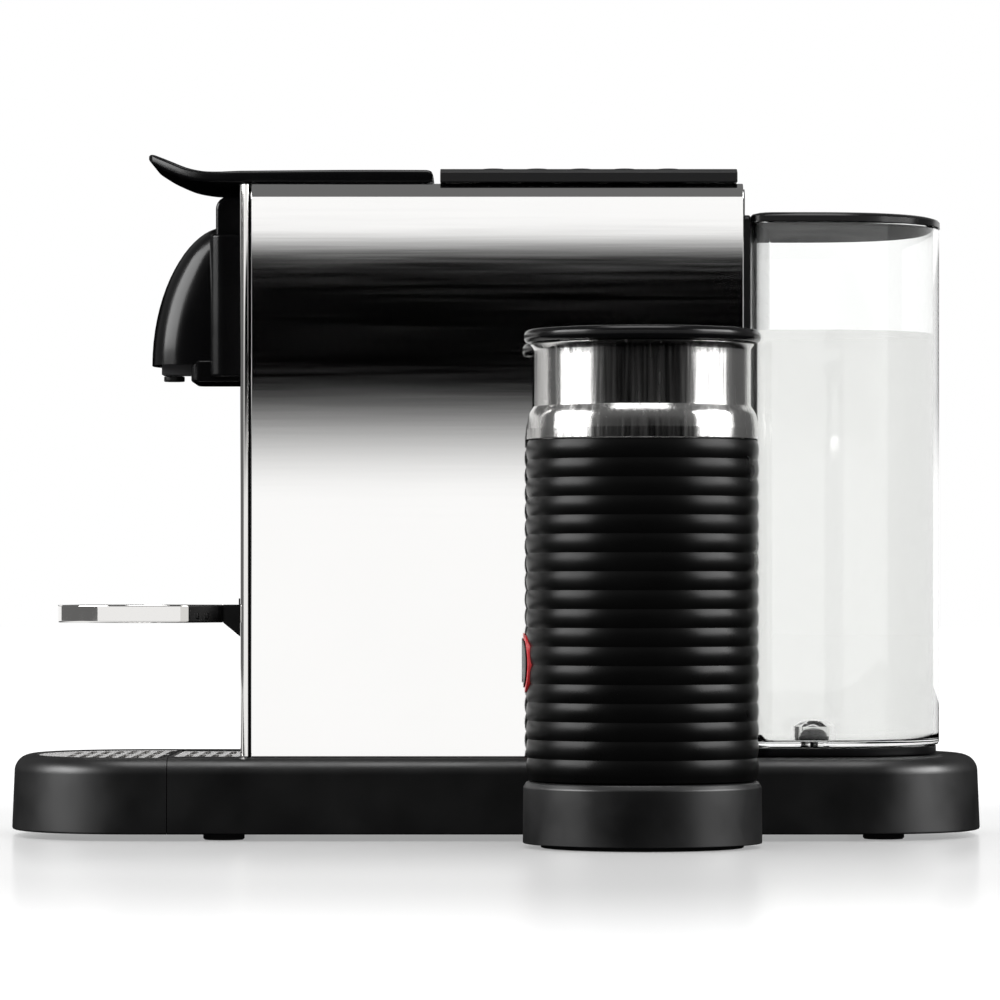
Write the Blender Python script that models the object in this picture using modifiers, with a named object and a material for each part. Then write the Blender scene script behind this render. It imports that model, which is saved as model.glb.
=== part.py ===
"""A pod coffee machine with a milk frother, built as separate pieces.

A chrome column stands on a long black base. Its lever opens the brewing chamber, its front panel pulls
out with the drip tray and the used-pod bin, a water tank stands behind it and a frother stands on a
round plinth joined to the base's side.

All dimensions are in millimetres and become metres where a mesh is made. The front faces -Y and +Z is up.
The origin is on the table, under the middle of the whole object.
"""

import math

import bmesh
import bpy
from mathutils import Matrix, Vector

MM = 0.001
MIDDLE_X = -45.0  # middle plane of the brewer; the frother stands on its +X side
GAP = 0.3  # clearance left between pieces that touch
MERGE = 0.00001  # metres: points closer than this are one
SHARP_ANGLE = math.radians(32)
ALONG = {"X": (0, math.pi / 2, 0), "Y": (-math.pi / 2, 0, 0), "Z": (0, 0, 0)}  # turns that lay +Z along an axis

# Base
BASE_HALF_LENGTH = 190.5
BASE_HALF_WIDTH = 65.0
BASE_END_REACH = 56.0  # how far each rounded end runs
BASE_END_POWER = 2.3  # 2 would be an ellipse; more is squarer
BASE_BOTTOM = 2.6
BASE_TOP = 31.8
BASE_DRAFT = 0.9
BASE_EDGE_RADIUS = 6.5
BASE_WALL = 2.5
FOOT_RADIUS = 8.0
FOOT_SPOTS = ((-48.0, -105.0), (48.0, -105.0), (-42.0, 150.0), (42.0, 150.0))
SEAM_Y = -126.3  # where the drip tray unit meets the base
CHANNEL_HALF_WIDTH = 42.5  # channel in the base that the tray's tongue slides in
CHANNEL_END_Y = -30.0
GRID_BOTTOM = 28.8
GRID_TOP = 31.4
SLOT_PITCH = 5.2
SLOT_WIDTH = 2.8

# Column
COLUMN_HALF_WIDTH = 55.0
COLUMN_TOP = 253.0
COLUMN_BOTTOM = 32.1
SHELL_FRONT_Y = -94.2
SHELL_BACK_Y = 95.2
SHELL_SHEET = 1.6
SHELL_SHEET_SIDE = -1  # the sheet's thickness goes inwards
SHELL_EDGE_RADIUS = 6.0
FRAME_FRONT_Y = -98.5
FRAME_BACK_Y = -95.3
FRAME_TOP = 252.5
FRAME_EDGE_RADIUS = 2.9
PANEL_HALF_WIDTH = 41.5
PANEL_TOP = 175.5
DOT_ROWS = 20
DOT_COLUMNS = 5
DOT_PITCH = 7.28
DOT_SPACING = 16.5
DOT_SIDE = 2.6
DOT_HEIGHT = 0.8
DOT_LOWEST_Z = 35.0

# Cup support, folding up about its hinge
SUPPORT_RADIUS = 35.0
SUPPORT_CENTRE_Y = -138.0
SUPPORT_LOW = 83.5
SUPPORT_HIGH = 90.5
SUPPORT_HINGE_Y = -104.8
SUPPORT_HINGE_Z = 87.0

# Lever and the brewing mechanism it moves
LEVER_PIVOT_Y = -26.75
LEVER_PIVOT_Z = 255.6
LEVER_OPENING = math.radians(70.0)
LEVER_ARM = 26.0  # from the pivot to the pin that drives the carriage
CARRIAGE_TRAVEL = 24.0
BREW_AXIS_Z = 208.0
PIN_RADIUS = 1.5

# Brew head
HOOD_BOTTOM = 184.6
HOOD_HEIGHT = 53.6
HOOD_TOP_Y = -110.0
HOOD_BULGE = 25.6  # how far the hood's foot stands ahead of its top
HOOD_HALF_WIDTH = 23.5
NOZZLE_Y = -127.0

# Top cover and its buttons
COVER_FRONT_Y = -21.5
COVER_BACK_Y = 93.0
COVER_EDGE_TOP = 258.4
CROWN = 1.6  # rise of the lever and the cover across their width
BUTTON_YS = (-1.0, 16.2, 33.4, 50.6, 67.8)
BUTTON_LENGTH = 22.0
BUTTON_WIDTH = 10.0
BUTTON_TOP = 262.0
LIGHT_Y = -15.0

# Water tank
TANK_FRONT_Y = 98.6
TANK_BACK_Y = 174.6
TANK_HALF_WIDTH = 55.0
TANK_ARC_REACH = 54.0
TANK_BOTTOM = 35.5
TANK_TOP = 238.0
TANK_WALL = 2.0
TANK_CORNER = 6.0
VALVE_Y = 124.2
PUMP_ACROSS = -20.0
PUMP_Y = 60.0
TUBE_RADIUS = 2.4

# Frother
FROTHER_X = 65.2
FROTHER_Y = 54.8
PLINTH_RADIUS = 44.8
PLINTH_TOP = 24.7
SLEEVE_RADIUS = 43.5
SLEEVE_GROOVE = 1.3
SLEEVE_BOTTOM = 25.0
SLEEVE_TOP = 152.2
SLEEVE_RIBS = 18
CUP_RADIUS = 38.5
LID_RADIUS = 44.3
FROTHER_BUTTON_Z = 68.6

FINISHES = {
    "black_gloss": ((0.012, 0.012, 0.013), 0.0, 0.25),
    "black_matte": ((0.03, 0.03, 0.032), 0.0, 0.6),
    "grey_plastic": ((0.32, 0.32, 0.33), 0.0, 0.5),
    "white_plastic": ((0.8, 0.8, 0.78), 0.0, 0.45),
    "clear_plastic": ((0.85, 0.88, 0.88), 0.0, 0.05),
    "chrome": ((0.75, 0.75, 0.76), 1.0, 0.05),
    "steel": ((0.6, 0.6, 0.6), 1.0, 0.3),
    "aluminium": ((0.7, 0.7, 0.7), 1.0, 0.4),
    "brass": ((0.7, 0.5, 0.2), 1.0, 0.35),
    "rubber": ((0.02, 0.02, 0.02), 0.0, 0.9),
    "red_plastic": ((0.55, 0.02, 0.02), 0.0, 0.35),
    "green_board": ((0.02, 0.2, 0.08), 0.0, 0.6),
}


def clear_scene():
    for thing in list(bpy.data.objects):
        bpy.data.objects.remove(thing, do_unlink=True)


def new_collection(name):
    collection = bpy.data.collections.new(name)
    bpy.context.scene.collection.children.link(collection)
    return collection


clear_scene()
PIECES = new_collection("pod_coffee_machine")
CUTTERS = new_collection("cutters")


# ---- shapes: each is an object, hidden among the cutters until piece() names it ----


def hidden(data):
    thing = bpy.data.objects.new("shape", data)
    CUTTERS.objects.link(thing)
    thing.hide_render = True
    thing.display_type = "WIRE"
    return thing


def mesh_object(bm, place=(0, 0, 0)):
    """A bmesh in millimetres about a place, as an object there, with its rounds shaded smooth."""
    bmesh.ops.scale(bm, vec=(MM, MM, MM), verts=bm.verts)
    mesh = bpy.data.meshes.new("shape")
    bm.to_mesh(mesh)
    bm.free()
    mesh.shade_smooth()
    mesh.set_sharp_from_angle(angle=SHARP_ANGLE)
    thing = hidden(mesh)
    thing.location = Vector(place) * MM
    return thing


def blocks(*boxes):
    """Boxes as one shape, each from three (low, high) spans, the first measured from the middle plane."""
    places = []
    for across, along, up in boxes:
        places.append(Vector((MIDDLE_X + sum(across) / 2, sum(along) / 2, sum(up) / 2)))
    bm = bmesh.new()
    for place, spans in zip(places, boxes):
        size = [high - low for low, high in spans]
        matrix = Matrix.Translation(place - places[0]) @ Matrix.Diagonal((*size, 1))
        bmesh.ops.create_cube(bm, size=1, matrix=matrix)
    return mesh_object(bm, places[0])


def both_sides(*boxes):
    """Boxes and their mirror images about the middle plane, as one shape."""
    mirrored = [((-across[1], -across[0]), along, up) for across, along, up in boxes]
    return blocks(*boxes, *mirrored)


def rod(centre, axis, low, high, radius, sides=16):
    """A round bar; low and high are places along the axis from centre."""
    bm = bmesh.new()
    bmesh.ops.create_cone(
        bm,
        cap_ends=True,
        segments=sides,
        radius1=radius,
        radius2=radius,
        depth=high - low,
        matrix=Matrix.Translation((0, 0, (low + high) / 2)),
    )
    thing = mesh_object(bm, centre)
    thing.rotation_euler = ALONG[axis]
    return thing


def pegs(spots, foot_y, tip_y, foot_half, tip_half):
    """Small square pegs that point forward, as one shape; spots are their X and Z."""
    bm = bmesh.new()
    for x, z in spots:
        bmesh.ops.create_cone(
            bm,
            cap_ends=True,
            segments=4,
            radius1=foot_half * math.sqrt(2),
            radius2=tip_half * math.sqrt(2),
            depth=abs(tip_y - foot_y),
            matrix=Matrix.Translation((x, (foot_y + tip_y) / 2, z))
            @ Matrix.Rotation(math.copysign(math.pi / 2, foot_y - tip_y), 4, "X")
            @ Matrix.Rotation(math.pi / 4, 4, "Z"),
        )
    return mesh_object(bm)


def turned(profile, centre, axis="Z", steps=24, closed=False):
    """A profile of (radius, height) points turned round an axis through centre by a Screw modifier."""
    ends = list(zip(profile, profile[1:] + profile[:1]))
    runs_up = sum(r0 * z1 - r1 * z0 for (r0, z0), (r1, z1) in ends) > 0
    points = profile[::-1] if runs_up else profile
    bm = bmesh.new()
    verts = [bm.verts.new((radius, 0, height)) for radius, height in points]
    for start, end in zip(verts, verts[1:]):
        bm.edges.new((start, end))
    if closed:
        bm.edges.new((verts[-1], verts[0]))
    thing = mesh_object(bm, centre)
    thing.rotation_euler = ALONG[axis]
    screw = thing.modifiers.new("turn", "SCREW")
    screw.steps = steps
    screw.render_steps = steps
    screw.use_merge_vertices = True
    screw.merge_threshold = MERGE
    screw.use_smooth_shade = True
    return thing


def flat(outline, low, high, axis="Z"):
    """A flat outline given thickness along an axis; its points are the other two coordinates, in X, Y, Z order."""
    curve = bpy.data.curves.new("outline", "CURVE")
    curve.dimensions = "2D"
    curve.fill_mode = "BOTH"
    curve.extrude = (high - low) / 2 * MM
    spline = curve.splines.new("POLY")
    spline.points.add(len(outline) - 1)
    for point, (a, b) in zip(spline.points, outline):
        point.co = (a * MM, b * MM, 0, 1)
    spline.use_cyclic_u = True
    thing = hidden(curve)
    thing.rotation_euler = {"X": (math.pi / 2, 0, math.pi / 2), "Y": (math.pi / 2, 0, 0), "Z": (0, 0, 0)}[axis]
    middle = (low + high) / 2 * MM
    thing.location = [middle if name == axis else 0 for name in "XYZ"]
    return as_mesh(thing)


def as_mesh(thing):
    """A curve object made a mesh with its caps welded, so that it can be cut and joined."""
    bpy.context.view_layer.update()
    mesh = bpy.data.meshes.new_from_object(thing.evaluated_get(bpy.context.evaluated_depsgraph_get()))
    bm = bmesh.new()
    bm.from_mesh(mesh)
    bmesh.ops.remove_doubles(bm, verts=bm.verts, dist=MERGE)
    bm.to_mesh(mesh)
    bm.free()
    mesh.shade_smooth()
    mesh.set_sharp_from_angle(angle=SHARP_ANGLE)
    result = hidden(mesh)
    result.matrix_world = thing.matrix_world
    bpy.data.objects.remove(thing)
    return result


def lofted(rings):
    """A closed solid through unlike sections, each a ring of as many points as the others."""
    bm = bmesh.new()
    levels = [[bm.verts.new(point) for point in ring] for ring in rings]
    count = len(levels[0])
    for low, high in zip(levels, levels[1:]):
        for i in range(count):
            j = (i + 1) % count
            bm.faces.new((low[i], low[j], high[j], high[i]))
    bm.faces.new(levels[0][::-1])
    bm.faces.new(levels[-1])
    bmesh.ops.remove_doubles(bm, verts=bm.verts, dist=1e-5)
    bmesh.ops.recalc_face_normals(bm, faces=bm.faces)
    return mesh_object(bm)


def tube(points, radius):
    """A flexible tube through the points, as a curve with a round section and closed ends."""
    path = smooth_path(points)
    curve = bpy.data.curves.new("tube", "CURVE")
    curve.dimensions = "3D"
    curve.bevel_depth = radius * MM
    curve.bevel_resolution = 3
    curve.use_fill_caps = True
    spline = curve.splines.new("POLY")
    spline.points.add(len(path) - 1)
    for point, place in zip(spline.points, path):
        point.co = (*(place * MM), 1)
    return hidden(curve)


def smooth_path(points, steps=4):
    """A rounder path through the same points."""
    points = [Vector(point) for point in points]
    path = []
    for i in range(len(points) - 1):
        before = points[max(i - 1, 0)]
        here = points[i]
        there = points[i + 1]
        after = points[min(i + 2, len(points) - 1)]
        for k in range(steps):
            t = k / steps
            a = 2 * here
            b = (there - before) * t
            c = (2 * before - 5 * here + 4 * there - after) * t * t
            d = (3 * here - before - 3 * there + after) * t * t * t
            path.append((a + b + c + d) / 2)
    path.append(points[-1])
    return path


def rounded_outline(x0, x1, y0, y1, radius, steps=4):
    """A rectangle with round corners, counter-clockwise."""
    outline = []
    corners = ((x1 - radius, y1 - radius), (x0 + radius, y1 - radius))
    corners += ((x0 + radius, y0 + radius), (x1 - radius, y0 + radius))
    for quarter, (x, y) in enumerate(corners):
        for k in range(steps + 1):
            angle = math.pi / 2 * (quarter + k / steps)
            outline.append((x + radius * math.cos(angle), y + radius * math.sin(angle)))
    return outline


# ---- pieces ----


def piece(name, thing, finish):
    """A shape that becomes a visible piece with a material of its own."""
    CUTTERS.objects.unlink(thing)
    PIECES.objects.link(thing)
    thing.hide_render = False
    thing.display_type = "TEXTURED"
    thing.name = name
    colour, metallic, roughness = FINISHES[finish]
    material = bpy.data.materials.new(name)
    material.use_nodes = True
    shader = material.node_tree.nodes["Principled BSDF"]
    shader.inputs["Base Color"].default_value = (*colour, 1)
    shader.inputs["Metallic"].default_value = metallic
    shader.inputs["Roughness"].default_value = roughness
    thing.data.materials.append(material)
    return thing


def combine(target, operation, shapes):
    for shape in shapes:
        change = target.modifiers.new(operation.lower(), "BOOLEAN")
        change.operation = operation
        change.solver = "EXACT"
        change.object = shape
    return target


def cut(target, *shapes):
    return combine(target, "DIFFERENCE", shapes)


def join(target, *shapes):
    return combine(target, "UNION", shapes)


def trim(target, *shapes):
    return combine(target, "INTERSECT", shapes)


def carry(body, place, *names):
    """An empty on a body's joint axis, with the body's pieces parented to it."""
    empty = bpy.data.objects.new(f"{body}_joint", None)
    PIECES.objects.link(empty)
    empty.location = Vector(place) * MM
    bpy.context.view_layer.update()
    for name in names:
        thing = PIECES.objects[name]
        thing.parent = empty
        thing.matrix_parent_inverse = empty.matrix_world.inverted()


# ---- base ----


def base_ring(inset, z, points=12):
    """One level outline of the base, inset from its foot line."""
    half_width = BASE_HALF_WIDTH - inset
    reach = BASE_END_REACH - inset
    straight = BASE_HALF_LENGTH - BASE_END_REACH
    power = 2 / BASE_END_POWER
    ring = []
    for side in (1, -1):
        for i in range(points + 1):
            angle = math.pi * i / points
            across = math.copysign(abs(math.cos(angle)) ** power, math.cos(angle))
            along = abs(math.sin(angle)) ** power
            ring.append((MIDDLE_X + side * half_width * across, side * (straight + reach * along), z))
    return ring


def base_solid():
    """The base's outside: drafted sides and a rounded top edge."""
    edge_start = BASE_TOP - BASE_EDGE_RADIUS
    rings = [base_ring(0, BASE_BOTTOM)]
    for k in range(5):
        angle = math.pi / 2 * k / 4
        inset = BASE_DRAFT + BASE_EDGE_RADIUS * (1 - math.cos(angle))
        rings.append(base_ring(inset, edge_start + BASE_EDGE_RADIUS * math.sin(angle)))
    return lofted(rings)


def everything_ahead_of(y):
    return blocks(((-80, 80), (-220, y), (-5, 60)))


def everything_behind(y):
    return blocks(((-80, 80), (y, 220), (-5, 60)))


def make_base_housing():
    housing = piece("base_housing", base_solid(), "black_gloss")
    plate_pocket = lofted([base_ring(BASE_WALL, 1.5), base_ring(BASE_WALL, 5.2)])
    cavity = lofted([base_ring(BASE_WALL, 5.0), base_ring(3.4, 24.5), base_ring(7.2, BASE_TOP - BASE_WALL)])
    wall = CHANNEL_HALF_WIDTH + BASE_WALL
    cut(cavity, blocks(((-wall, wall), (-220, CHANNEL_END_Y + BASE_WALL), (-5, 60))))
    cut(cavity, everything_ahead_of(SEAM_Y + GAP + BASE_WALL))
    channel = blocks(((-CHANNEL_HALF_WIDTH, CHANNEL_HALF_WIDTH), (-150, CHANNEL_END_Y), (-1, 60)))
    cut(housing, everything_ahead_of(SEAM_Y + GAP), plate_pocket, cavity, channel)
    bridge_hole = blocks(((59, 71), (39.7, 70.3), (5.2, 22.3)))
    inlet_hole = blocks(((-70, -52), (99.7, 128.3), (8.2, 25.3)))
    seat_hole = rod((MIDDLE_X, VALVE_Y, 0), "Z", 20, 40, 4.5)
    pump_hole = rod((MIDDLE_X + PUMP_ACROSS, PUMP_Y, 0), "Z", 20, 40, 5)
    cut(housing, bridge_hole, inlet_hole, seat_hole, pump_hole)


def make_base_plate():
    inset = BASE_WALL + GAP
    plate = piece("base_plate", lofted([base_ring(inset, 2.9), base_ring(inset, 4.9)]), "black_matte")
    cut(plate, everything_ahead_of(SEAM_Y + 3.1))


def make_feet():
    profile = [(0, 0), (FOOT_RADIUS - 0.6, 0), (FOOT_RADIUS, 0.6), (FOOT_RADIUS, BASE_BOTTOM), (0, BASE_BOTTOM)]
    for number, (across, along) in enumerate(FOOT_SPOTS, 1):
        piece(f"foot_{number}", turned(profile, (MIDDLE_X + across, along, 0), steps=20), "rubber")


def make_power_inlet():
    """A recessed socket in the base's far side."""
    inlet = piece("power_inlet", blocks(((-63.8, -53), (100, 128), (8.5, 25))), "black_matte")
    cut(inlet, blocks(((-70, -56), (103, 125), (11.5, 22))))
    blades = [((-61.5, -55), (y, y + 1.6), (14.5, 19)) for y in (106.5, 113.2, 119.9)]
    join(inlet, blocks(*blades))


# ---- tray unit: tray, grids, bin, front panel and cup support, all pulled out together ----


def make_drip_tray():
    tray = piece("drip_tray", base_solid(), "black_gloss")
    basin = lofted([base_ring(4, 7), base_ring(4.6, 20), base_ring(12.4, 27), base_ring(12.4, 29)])
    cut(basin, everything_behind(SEAM_Y - 5.2))
    ledge = lofted([base_ring(9.4, 28.5), base_ring(9.4, 45)])
    cut(ledge, everything_behind(SEAM_Y - 1.9))
    cut(tray, everything_behind(SEAM_Y), basin, ledge)
    tongue = blocks(((-PANEL_HALF_WIDTH, PANEL_HALF_WIDTH), (SEAM_Y - 3, -31.5), (5.2, 8.5)))
    ribs = both_sides(((37.5, 40.5), (SEAM_Y - 1, -100.2), (7.5, 28.5)))
    join(tray, tongue, ribs)


def grid_slots(first_y, halves):
    """Slots either side of a grid's middle web, one pair for each half width."""
    slots = []
    for number, half in enumerate(halves):
        y = first_y + SLOT_PITCH * number
        slots.append(((2.5, half), (y, y + SLOT_WIDTH), (20, 40)))
    return both_sides(*slots)


def make_drip_grid():
    grid = piece("drip_grid", lofted([base_ring(9.8, GRID_BOTTOM), base_ring(9.8, GRID_TOP)]), "steel")
    cut(grid, everything_behind(SEAM_Y - 2.3))
    halves = [44.0 - 3.6 * max(0, 5 - number) for number in range(9)]
    cut(grid, grid_slots(-134.5 - 8 * SLOT_PITCH, halves))


def make_rear_grid():
    grid = piece("rear_grid", blocks(((-41.5, 41.5), (SEAM_Y + 0.4, -99.9), (GRID_BOTTOM, GRID_TOP))), "steel")
    cut(grid, grid_slots(-121.5, [36.0] * 4))


def make_pod_bin():
    bin_box = flat(rounded_outline(MIDDLE_X - 38, MIDDLE_X + 38, -94.4, -34, 5), 8.8, 170)
    inside = flat(rounded_outline(MIDDLE_X - 36.2, MIDDLE_X + 36.2, -92.6, -35.8, 3.5), 10.8, 180)
    cut(piece("pod_bin", bin_box, "black_matte"), inside)


def make_front_panel():
    face = FRAME_FRONT_Y + 0.1
    slab = blocks(((-PANEL_HALF_WIDTH, PANEL_HALF_WIDTH), (face, -95), (8.8, PANEL_TOP)))
    spots = []
    for row in range(DOT_ROWS):
        z = DOT_LOWEST_Z + DOT_PITCH * row
        for column in range(DOT_COLUMNS):
            across = DOT_SPACING * (column - (DOT_COLUMNS - 1) / 2)
            behind_bracket = abs(across) < 18 and 74 < z < 95
            if not behind_bracket:
                spots.append((MIDDLE_X + across, z))
    dots = pegs(spots, face + 1, face - DOT_HEIGHT, DOT_SIDE / 2 + 0.5, DOT_SIDE / 2 - 0.3)
    join(piece("front_panel", slab, "black_matte"), dots)


def make_cup_bracket():
    """The black bracket on the front panel that carries the cup support's hinge."""
    face = FRAME_FRONT_Y - 0.2
    outline = [(face, 76.6), (face, 93.0), (face - 2.2, 93.0), (face - 2.2, SUPPORT_HIGH)]
    outline += [(face - 8.3, SUPPORT_HIGH), (face - 8.3, SUPPORT_LOW)]
    bracket = piece("cup_bracket", flat(outline, MIDDLE_X - 15, MIDDLE_X + 15, "X"), "black_matte")
    knuckle_gap = blocks(((-9.3, 9.3), (-120, -100.6), (78, 100)))
    pin_hole = rod((MIDDLE_X, SUPPORT_HINGE_Y, SUPPORT_HINGE_Z), "X", -13, 13, PIN_RADIUS + 0.3)
    cut(bracket, knuckle_gap, pin_hole)


def make_cup_support():
    centre = (MIDDLE_X, SUPPORT_CENTRE_Y, 0)
    rim = SUPPORT_RADIUS - 1
    profile = [(0, SUPPORT_LOW), (rim, SUPPORT_LOW), (SUPPORT_RADIUS, SUPPORT_LOW + 1)]
    profile += [(SUPPORT_RADIUS, SUPPORT_HIGH - 1), (rim, SUPPORT_HIGH), (rim - 2, SUPPORT_HIGH)]
    profile += [(rim - 2, SUPPORT_HIGH - 0.8), (0, SUPPORT_HIGH - 0.8)]
    support = piece("cup_support", turned(profile, centre, steps=36), "chrome")
    cut(support, blocks(((-16, 16), (-109, -90), (70, 100))))
    knuckle = rounded_outline(-114, SUPPORT_HINGE_Y + 3.3, SUPPORT_HINGE_Z - 3.3, SUPPORT_HINGE_Z + 3.2, 3)
    join(support, flat(knuckle, MIDDLE_X - 9, MIDDLE_X + 9, "X"))
    cut(support, rod((MIDDLE_X, SUPPORT_HINGE_Y, SUPPORT_HINGE_Z), "X", -20, 20, PIN_RADIUS + 0.3))


def make_cup_hinge_pin():
    pin = rod((MIDDLE_X, SUPPORT_HINGE_Y, SUPPORT_HINGE_Z), "X", -12.7, 12.7, PIN_RADIUS)
    piece("cup_hinge_pin", pin, "steel")


# ---- column ----


def shell_outline(inset):
    """The column's outline from the front, with round top corners, open at the bottom."""
    half = COLUMN_HALF_WIDTH - inset
    top = COLUMN_TOP - inset
    radius = SHELL_EDGE_RADIUS - inset
    outline = [(MIDDLE_X + half, COLUMN_BOTTOM)]
    for quarter, side in enumerate((1, -1)):
        for k in range(6):
            angle = math.pi / 2 * (quarter + k / 5)
            x = MIDDLE_X + side * (half - radius) + radius * math.cos(angle)
            outline.append((x, top - radius + radius * math.sin(angle)))
    outline.append((MIDDLE_X - half, COLUMN_BOTTOM))
    return outline


def make_body_shell():
    """The metal sheet bent round the column: an open surface given its thickness, then slotted."""
    bm = bmesh.new()
    verts = [bm.verts.new((x, SHELL_FRONT_Y, z)) for x, z in shell_outline(0)]
    edges = [bm.edges.new(ends) for ends in zip(verts, verts[1:])]
    pulled = bmesh.ops.extrude_edge_only(bm, edges=edges)["geom"]
    moved = [item for item in pulled if isinstance(item, bmesh.types.BMVert)]
    bmesh.ops.translate(bm, vec=(0, SHELL_BACK_Y - SHELL_FRONT_Y, 0), verts=moved)
    bmesh.ops.recalc_face_normals(bm, faces=bm.faces)
    shell = piece("body_shell", mesh_object(bm), "chrome")
    sheet = shell.modifiers.new("sheet", "SOLIDIFY")
    sheet.thickness = SHELL_SHEET * MM
    sheet.offset = SHELL_SHEET_SIDE
    sheet.use_even_offset = True
    top = (240, 260)
    openings = [((-20.5, 20.5), (-80.5, -52), top), ((-7, 7), (-8, 76), top)]
    slots = both_sides(((23.2, 27.4), (-48, -22.8), top), ((31.2, 36.8), (-30, -24), top))
    cut(shell, blocks(*openings), slots)


def make_front_frame():
    """The column's metal front, with rounded upright edges, around the sliding panel."""
    left = MIDDLE_X - COLUMN_HALF_WIDTH
    right = MIDDLE_X + COLUMN_HALF_WIDTH
    radius = FRAME_EDGE_RADIUS
    outline = [(right, FRAME_BACK_Y), (left, FRAME_BACK_Y)]
    for quarter, x in ((2, left + radius), (3, right - radius)):
        for k in range(5):
            angle = math.pi / 2 * (quarter + k / 4)
            outline.append((x + radius * math.cos(angle), FRAME_FRONT_Y + radius + radius * math.sin(angle)))
    frame = piece("front_frame", flat(outline, COLUMN_BOTTOM, FRAME_TOP), "steel")
    panel_opening = ((-42.2, 42.2), (-110, -90), (20, PANEL_TOP + 1))
    duct_opening = ((-12, 12), (-110, -90), (178.5, 201))
    cut(frame, blocks(panel_opening, duct_opening))


def make_chassis():
    """The inner frame: side walls by the bin, a partition behind it and a shelf under the brewing unit."""
    chassis = piece("chassis", blocks(((-52.5, 52.5), (-94.8, 22), (176, 180))), "grey_plastic")
    partition = blocks(((-52.5, 52.5), (-30.5, -28), (32.4, 178)))
    sides = both_sides(((50.2, 52.5), (-94.8, -28.5), (32.4, 178)))
    back_legs = both_sides(((46, 49), (12, 21), (32.4, 178)))
    join(chassis, partition, sides, back_legs)
    cut(chassis, blocks(((-36, 36), (-92, -33), (170, 190))))


def make_rear_panel():
    panel = piece("rear_panel", flat(shell_outline(SHELL_SHEET + 0.6), 92.2, 95.8, "Y"), "black_matte")
    join(panel, blocks(((-50, 50), (95, 98.2), (32.4, 241))))


def make_top_cover():
    """A slightly crowned cover over the back of the column's top, with holes for its buttons and light."""
    half = 53.5
    outline = [(MIDDLE_X - half, COLUMN_TOP + GAP), (MIDDLE_X + half, COLUMN_TOP + GAP)]
    outline += [(MIDDLE_X + half, COVER_EDGE_TOP - 1)]
    for k in range(9):
        across = 1 - k / 4
        outline.append((MIDDLE_X + (half - 0.9) * across, COVER_EDGE_TOP + CROWN * (1 - across * across)))
    outline += [(MIDDLE_X - half, COVER_EDGE_TOP - 1)]
    cover = piece("top_cover", flat(outline, COVER_FRONT_Y, COVER_BACK_Y, "Y"), "black_gloss")
    cut(cover, blocks(((-50, 50), (COVER_FRONT_Y + 2.5, COVER_BACK_Y - 2.5), (250, 255.5))))
    cut(cover, *[flat(button_outline(y, GAP), 240, 270) for y in BUTTON_YS])
    cut(cover, rod((MIDDLE_X, LIGHT_Y, 0), "Z", 240, 270, 2.8))


def button_outline(y, extra):
    half_length = BUTTON_LENGTH / 2 + extra
    half_width = BUTTON_WIDTH / 2 + extra
    left = MIDDLE_X - half_length
    return rounded_outline(left, left + 2 * half_length, y - half_width, y + half_width, half_width - 0.01)


def make_buttons():
    for number, y in enumerate(BUTTON_YS, 1):
        button = piece(f"button_{number}", flat(button_outline(y, 0), 254.9, BUTTON_TOP), "black_gloss")
        flange = flat(button_outline(y, 1.2), 254.6, 255.2)
        join(button, flange, rod((MIDDLE_X, y, 0), "Z", 243.6, 255, 2, 12))


def make_status_light():
    profile = [(0, 256.2), (2.5, 256.2), (2.5, 260.2), (1.9, 260.5), (0, 260.5)]
    piece("status_light", turned(profile, (MIDDLE_X, LIGHT_Y, 0), steps=16), "white_plastic")


def make_control_board():
    board = piece("control_board", blocks(((-44, 44), (-12, 86), (238.2, 239.8))), "green_board")
    switches = [((-3, 3), (y - 3, y + 3), (239.5, 241.8)) for y in BUTTON_YS]
    join(board, blocks(*switches))


# ---- lever and brewing unit ----

# The lever's stations from its tip to its hinge: y, underside, top edge, half width
LEVER_STATIONS = (
    (-135.4, 264.2, 265.4, 25.0),
    (-134.2, 262.3, 265.7, 29.0),
    (-130.5, 259.0, 264.3, 32.0),
    (-126.7, 256.5, 262.7, 34.5),
    (-120.0, 253.1, 260.0, 38.0),
    (-113.2, 251.4, 258.5, 41.0),
    (-106.5, 250.7, 258.2, 43.0),
    (-99.2, 250.7, 258.4, 44.5),
    (-98.7, 253.4, 258.4, 44.5),
    (-60.0, 253.4, 258.6, 46.0),
    (-32.0, 253.4, 258.6, 46.0),
    (-25.9, 253.6, 258.4, 46.0),
    (-24.6, 254.6, 257.2, 46.0),
)


def lever_ring(y, low, high, half):
    """One section of the lever: small corners, a flat underside and a crowned top."""
    corner = min(0.8, (high - low) * 0.3)
    points = [(half - corner, low), (half, low + corner), (half, high - corner), (half - corner, high)]
    points += [(half * 0.5, high + CROWN * 0.75), (0, high + CROWN)]
    points += [(-half * 0.5, high + CROWN * 0.75), (corner - half, high)]
    points += [(-half, high - corner), (-half, low + corner), (corner - half, low)]
    return [(MIDDLE_X + x, y, z) for x, z in points]


def make_lever():
    """The top lever, with two arms that reach down through the shell to drive the carriage."""
    lever = piece("lever", lofted([lever_ring(*station) for station in LEVER_STATIONS]), "black_gloss")
    pin_z = LEVER_PIVOT_Z - LEVER_ARM
    arms = both_sides(((24.0, 26.6), (LEVER_PIVOT_Y - 2.4, LEVER_PIVOT_Y + 2.2), (pin_z - 2.4, 253.9)))
    centre = (MIDDLE_X, LEVER_PIVOT_Y, pin_z)
    pins = [rod(centre, "X", low, low + 4.9, PIN_RADIUS, 12) for low in (25, -29.9)]
    join(lever, arms, *pins)
    cut(lever, both_sides(((31.0, 37.0), (-31.4, -20), (245, 270))))
    cut(lever, rod((MIDDLE_X, LEVER_PIVOT_Y, LEVER_PIVOT_Z), "X", -38.6, 38.6, PIN_RADIUS, 12))


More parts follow.
